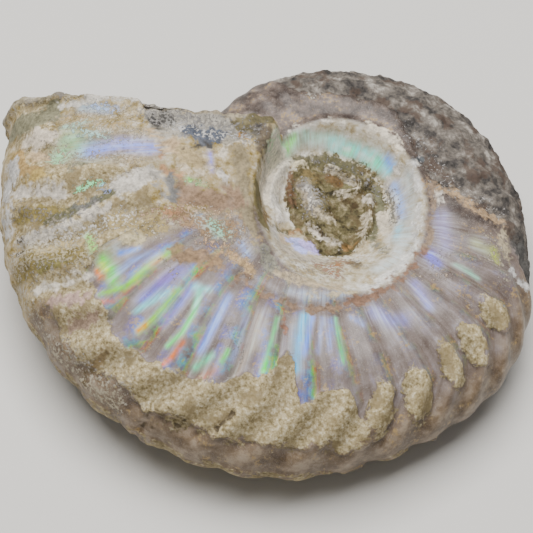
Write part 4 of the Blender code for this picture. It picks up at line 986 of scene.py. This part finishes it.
coverings = (
    # mask, raggedness and softness in mm, colours from dark to light,
    # grain in mm, roughness, bump in mm, and the colour and size in mm of its blotches:
    # dry beige limestone crust, dark marl full of pale crumbs, dull sandy fill, and olive mud in the pit
    ("crust", 2.6, 0.12, ("#695c3f", "#867856", "#9c8d6a", "#ad9f7e", "#c4baa0"),
     0.5, 0.92, 0.14, "#7a6b4c", 3.0),
    ("rock", 3.2, 0.14, ("#2e2b28", "#494440", "#625b53", "#7b736a", "#a39c92"),
     2.2, 0.8, 0.32, "#4d3e34", 3.2),
    ("face", 2.4, 0.20, ("#4f483b", "#80765f", "#968b72", "#b3aa98"),
     1.3, 0.85, 0.30, "#77706a", 3.0),
    ("pit", 2.4, 0.15, ("#241e0e", "#473f25", "#5e5638", "#7b7053", "#988b6e"),
     1.3, 0.72, 0.24, "#55472c", 1.9),
)


def fillRamp(ramp, stops):
    while len(ramp.elements) < len(stops):
        ramp.elements.new(0.5)
    for element, (where, code) in zip(ramp.elements, stops):
        element.position = where
        element.color = hexColour(code)


def evenStops(codes):  # noise keeps mostly between a third and two thirds
    return [(0.36 + 0.28 * place / (len(codes) - 1), code) for place, code in enumerate(codes)]


def buildNacre(material):  # pearl that flashes in streaks between dry sandy crusts and dull grey rock
    material.use_nodes = True
    tree = material.node_tree
    tree.nodes.clear()
    add = partial(addNode, tree)
    sums, ranges, mixes = "ShaderNodeMath", "ShaderNodeMapRange", "ShaderNodeMix"
    noises, ramps = "ShaderNodeTexNoise", "ShaderNodeValToRGB"
    place = add("ShaderNodeTexCoord").outputs["Object"]
    names = ["crust", "rock", "face", "pit", "stain", "ribs", "depth", "fire"] + [base[0] for base in bases]
    kept = {name: add("ShaderNodeAttribute", attribute_name=name).outputs["Fac"] for name in names}
    glow, dusty, stain = (add("ShaderNodeAttribute", attribute_name=name).outputs
                          for name in ("glowTint", "dustTint", "stainTint"))
    texture = {}
    for name, (size, detail, breakUp, bend) in patterns.items():
        texture[name] = add(noises, {"Vector": place, "Scale": 1 / (size * mm), "Detail": detail,
                                     "Roughness": breakUp, "Distortion": bend})

    # fine growth lines run along the ribs, and break up the colours
    across = add(sums, [kept["ribs"], nacre["linesPerRib"]], operation="MULTIPLY")
    along = add(sums, [kept["depth"], nacre["lineBreaks"]], operation="MULTIPLY")
    flow = add("ShaderNodeCombineXYZ", [across, along])
    striae = add(noises, {"Vector": flow, "Scale": 1.0, "Detail": 5.0, "Roughness": 0.62, "Distortion": 0.3})
    tone = add(sums, [add(sums, [texture["grain"], 0.55], operation="MULTIPLY"),
                      add(sums, [striae, 0.45], operation="MULTIPLY")])
    colour = add(ramps, [tone])
    fillRamp(colour.color_ramp, evenStops(nacre["grain"]))

    # the rainbow: thin layers of shell show a hue that turns with the slope of each rib
    shift = add(sums, [striae, texture["patches"]])
    shift = add(sums, [shift, nacre["rainbowShift"], -nacre["rainbowShift"]], operation="MULTIPLY_ADD")
    slant = add(sums, [kept["depth"], nacre["rainbowSlant"]], operation="MULTIPLY")
    phase = add(sums, [add(sums, [kept["ribs"], shift]), slant])
    rainbow = add(ramps, [add(sums, [phase], operation="FRACT")])
    fillRamp(rainbow.color_ramp, nacre["rainbow"])
    shown = add(ranges, {"Value": texture["patches"], **shares["rainbow"]})
    shown = add(sums, [shown, kept["fire"]], operation="MULTIPLY")
    shown = add(sums, [shown, nacre["rainbowStrength"]], operation="MULTIPLY")
    colour = add(mixes, [shown, colour, rainbow], data_type="RGBA")

    rough = nacre["roughness"]
    for name, soft, codes, size, roughness in bases:
        fine = add(noises, {"Vector": place, "Scale": 1 / (size * mm), "Detail": 6.0, "Roughness": 0.65})
        tinted = add(ramps, [fine])
        fillRamp(tinted.color_ramp, evenStops(codes))
        mask = add(ranges, {"Value": kept[name], "From Min": -soft, "From Max": soft})
        colour = add(mixes, [mask, colour, tinted], data_type="RGBA")
        rough = add(mixes, [mask, rough, roughness])

    # painted shade on the ribs: the crests are lightened and the furrows darkened in the colour, as light
    # falls across them
    wave = add(sums, [add(sums, [kept["ribs"], math.tau], operation="MULTIPLY")], operation="COSINE")
    crustRibShading = add(sums, [wave, nacre["crustRibPaintedShade"], 1.0], operation="MULTIPLY_ADD")
    fadeStart, fadeEnd = nacre["ribPaintedShadeEnd"]
    fading = add(ranges, {"Value": kept["depth"], "From Min": fadeStart, "From Max": fadeEnd,
                          "To Min": nacre["ribPaintedShade"], "To Max": 0.0})
    wave = add(sums, [wave, fading, 1.0], operation="MULTIPLY_ADD")
    colour = add("ShaderNodeVectorMath", {0: colour, "Scale": wave}, operation="SCALE")

    # tan specks and pale scratches
    specks = add(sums, [texture["specks"], texture["patches"]])
    specks = add(ranges, {"Value": specks, **shares["specks"]})
    colour = add(mixes, [specks, colour, hexColour(nacre["speck"])], data_type="RGBA")
    scratches = add(sums, [texture["scratches"], 0.5], operation="SUBTRACT")
    scratches = add(sums, [scratches], operation="ABSOLUTE")
    scratches = add(ranges, {"Value": scratches, **shares["scratches"]})
    colour = add(mixes, [scratches, colour, hexColour(nacre["scratch"])], data_type="RGBA")

    # the soft strokes, streaked by the growth lines, with a white painted highlight where the lines run
    # brightest
    streaked = add(ranges, {"Value": striae, **shares["streaks"]})
    strength = add(sums, [glow["Alpha"], streaked], operation="MULTIPLY")
    strength = add(sums, [strength, nacre["glow"]], operation="MULTIPLY")
    lit = add(ranges, {"Value": striae, **shares["paintedHighlights"]})
    lights = add(mixes, [lit, glow["Color"], hexColour(nacre["paintedHighlight"])], data_type="RGBA")
    colour = add(mixes, [strength, colour, lights], data_type="RGBA")
    colour = add("ShaderNodeHueSaturation", {"Saturation": nacre["saturation"], "Color": colour})

    # minerals over it, each with a ragged edge, a rougher skin and its own crumbs
    height, bare = add(sums, [striae, nacre["striaeBump"]], operation="MULTIPLY"), 1.0
    ragged = add(sums, [texture["ragged"], 0.5], operation="SUBTRACT")
    for name, torn, soft, codes, size, roughness, bump, blotch, blotchSize in coverings:
        fine = add(noises, {"Vector": place, "Scale": 1 / (size * mm), "Detail": 7.0, "Roughness": 0.7})
        crumbs = add(ramps, [fine])
        fillRamp(crumbs.color_ramp, evenStops(codes))
        spots = add(noises, {"Vector": place, "Scale": 1 / (blotchSize * mm), "Detail": 4.0,
                             "Roughness": 0.65})
        spots = add(ranges, {"Value": spots, **shares["blotches"]})
        crumbs = add(mixes, [spots, crumbs, hexColour(blotch)], data_type="RGBA")
        # the crust takes the ribs' painted shade too
        if name == "crust":
            crumbs = add("ShaderNodeVectorMath", {0: crumbs, "Scale": crustRibShading}, operation="SCALE")
        edge = add(sums, [ragged, torn, kept[name]], operation="MULTIPLY_ADD")
        mask = add(ranges, {"Value": edge, "From Min": -soft, "From Max": soft})
        colour = add(mixes, [mask, colour, crumbs], data_type="RGBA")
        rough = add(mixes, [mask, rough, roughness])
        height = add(mixes, [mask, height, add(sums, [fine, bump], operation="MULTIPLY")])
        bare = add(sums, [bare, add(sums, [1.0, mask], operation="SUBTRACT")], operation="MULTIPLY")

    # the painted stains come last
    shade = add(sums, [add(sums, [texture["stains"], 1.5], operation="MULTIPLY"), texture["patches"]])
    shade = add(ranges, {"Value": shade, **shares["stainShade"]})
    shaded = add("ShaderNodeVectorMath", {0: stain["Color"], "Scale": shade}, operation="SCALE")
    edge = add(sums, [ragged, mineral["stainTorn"], kept["stain"]], operation="MULTIPLY_ADD")
    mask = add(ranges, {"Value": edge, **shares["stains"]})
    colour = add(mixes, [mask, colour, shaded], data_type="RGBA")
    rough = add(mixes, [mask, rough, mineral["stainRoughness"]])
    raised = add(sums, [texture["stains"], mineral["stainBump"]], operation="MULTIPLY")
    height = add(mixes, [mask, height, raised])
    bare = add(sums, [bare, add(sums, [1.0, mask], operation="SUBTRACT")], operation="MULTIPLY")

    # crumbs strewn on top, more of them where the dust lies thicker
    mask = add(sums, [dusty["Alpha"], mineral["dustGathers"], texture["dust"]], operation="MULTIPLY_ADD")
    mask = add(ranges, {"Value": mask, **shares["dust"]})
    strewn = add(sums, [dusty["Alpha"], 6.0], operation="MULTIPLY", use_clamp=True)
    mask = add(sums, [mask, strewn], operation="MULTIPLY")
    colour = add(mixes, [mask, colour, dusty["Color"]], data_type="RGBA")
    rough = add(mixes, [mask, rough, mineral["dustRoughness"]])
    height = add(sums, [mask, mineral["dustBump"], height], operation="MULTIPLY_ADD")

    coat = add(sums, [bare, nacre["coat"]], operation="MULTIPLY")
    bumped = add("ShaderNodeBump", {"Strength": 1.0, "Distance": mm, "Height": height})
    surface = add("ShaderNodeBsdfPrincipled", {
        "Base Color": colour, "Roughness": rough, "Normal": bumped, "Specular IOR Level": nacre["specular"],
        "Coat Weight": coat, "Coat Roughness": nacre["coatRoughness"]})
    add("ShaderNodeOutputMaterial", [surface])
    print("nacre built of", len(tree.nodes), "nodes")


# The finished shell, laid down as it lies in the photo

sculpt = {"voxel": 0.22, "quickVoxel": 0.5, "smoothing": 12, "triangles": 192000, "margin": 0.02}
rest = {"lean": (0.070, -0.035, 1.0), "wornFlat": 0.4}


def makeShell(material):
    empty = bpy.data.meshes.new("empty")
    mesh = evaluatedMesh(empty, "NODES", node_group=buildCoilTree(material), inputs=coil)
    growth = np.empty(len(mesh.vertices), np.float32)
    mesh.attributes["growth"].data.foreach_get("value", growth)
    writePoints(mesh, sculptWhorl(readPoints(mesh), growth.astype(float)))
    voxel = sculpt["voxel"]
    mesh = evaluatedMesh(mesh, "REMESH", mode="VOXEL", voxel_size=voxel)
    mesh = evaluatedMesh(mesh, "SMOOTH", factor=0.5, iterations=sculpt["smoothing"])
    print("whorl remeshed:", len(mesh.vertices), "points")

    points = readPoints(mesh)
    out, up = shellRelief(surveyShell(points))
    points = points + readNormals(mesh) * out[:, None]
    points[:, 2] += up
    writePoints(mesh, points)
    faces = sum(len(face.vertices) - 2 for face in mesh.polygons)
    mesh = evaluatedMesh(mesh, "DECIMATE", ratio=sculpt["triangles"] / faces)
    print("shell cut down to", len(mesh.polygons), "faces")
    return mesh


def layDown(points):  # leaned as it rests, worn flat below, and set on the CAD solid's place
    lean = Vector((0, 0, 1)).rotation_difference(Vector(rest["lean"])).to_matrix()
    points = points @ np.array(lean).T
    low, high = (np.array(corner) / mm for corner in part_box("ammonite"))
    print("size before fitting:", np.round(np.ptp(points, axis=0), 2), "CAD:", np.round(high - low, 2))
    middle = (points.max(axis=0) + points.min(axis=0)) / 2
    points[:, :2] += ((low + high) / 2 - middle)[:2]
    points[:, 2] = np.maximum(points[:, 2] - points[:, 2].min() - rest["wornFlat"], 0)
    # the grain may stand a hair past the solid: the points are drawn in evenly to stay inside its box
    share = np.minimum((high - low - sculpt["margin"]) / np.ptp(points, axis=0), 1)
    centre = (low + high)[:2] / 2
    points[:, :2] = centre + (points[:, :2] - centre) * share[:2]
    points[:, 2] *= share[2]
    return points


shellMaterial = bpy.data.materials.new("nacreUnderCrust")
buildNacre(shellMaterial)
shellMesh = makeShell(shellMaterial)
shellPoints = readPoints(shellMesh)
keepMasks(shellMesh, shellPoints)
writePoints(shellMesh, layDown(shellPoints) * mm)
shellMesh.materials.clear()
shellMesh.materials.append(shellMaterial)  # the remesh drops it
shellMesh.name = "ammoniteShell"
shellMesh.shade_smooth()
shell = bpy.data.objects.new("ammoniteShell", shellMesh)
bpy.context.scene.collection.objects.link(shell)
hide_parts("ammonite")
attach(shell, "root")

# The table, the light and the camera

view = {
    "camera": (-9.4557, -145.4407, 248.2292),   # in mm and degrees, fitted to the outline in the photo
    "turn": (31.3158, -2.1869, -0.2174),
    "lens": 146.15,
    "floorSize": 6.0, "floorColour": "#cfccc6", "floorRoughness": 0.9,
    "keyFrom": (-0.05, 0.08, 0.55), "keySize": 0.40, "keyPower": 6.6,   # in metres and watts
    "worldColour": "#e4e6ea", "worldStrength": 0.30,
}

floorMesh = bpy.data.meshes.new("table")
half = view["floorSize"] / 2
corners = [(-half, -half, 0), (half, -half, 0), (half, half, 0), (-half, half, 0)]
floorMesh.from_pydata(corners, [], [(0, 1, 2, 3)])
floor = bpy.data.objects.new("table", floorMesh)
bpy.context.scene.collection.objects.link(floor)
floorMaterial = bpy.data.materials.new("mattPaintedBoard")   # no shine, so only the fossil catches the light
floorMaterial.use_nodes = True
board = floorMaterial.node_tree.nodes["Principled BSDF"].inputs
board["Base Color"].default_value = hexColour(view["floorColour"])
board["Roughness"].default_value = view["floorRoughness"]
floorMesh.materials.append(floorMaterial)

world = bpy.data.worlds.new("softRoom")
bpy.context.scene.world = world
world.use_nodes = True
background = world.node_tree.nodes["Background"]
background.inputs["Color"].default_value = hexColour(view["worldColour"])
background.inputs["Strength"].default_value = view["worldStrength"]

keyData = bpy.data.lights.new("softKey", "AREA")
keyData.shape, keyData.size, keyData.energy = "SQUARE", view["keySize"], view["keyPower"]
key = bpy.data.objects.new("softKey", keyData)
key.location = view["keyFrom"]
key.rotation_euler = (-Vector(view["keyFrom"])).to_track_quat("-Z", "Y").to_euler()
bpy.context.scene.collection.objects.link(key)

cameraData = bpy.data.cameras.new("photoView")
cameraData.lens, cameraData.sensor_width = view["lens"], 36
camera = bpy.data.objects.new("photoView", cameraData)
camera.location = Vector(view["camera"]) * mm
camera.rotation_euler = [math.radians(angle) for angle in view["turn"]]
bpy.context.scene.collection.objects.link(camera)
bpy.context.scene.camera = camera
print("table, key light and camera in place")
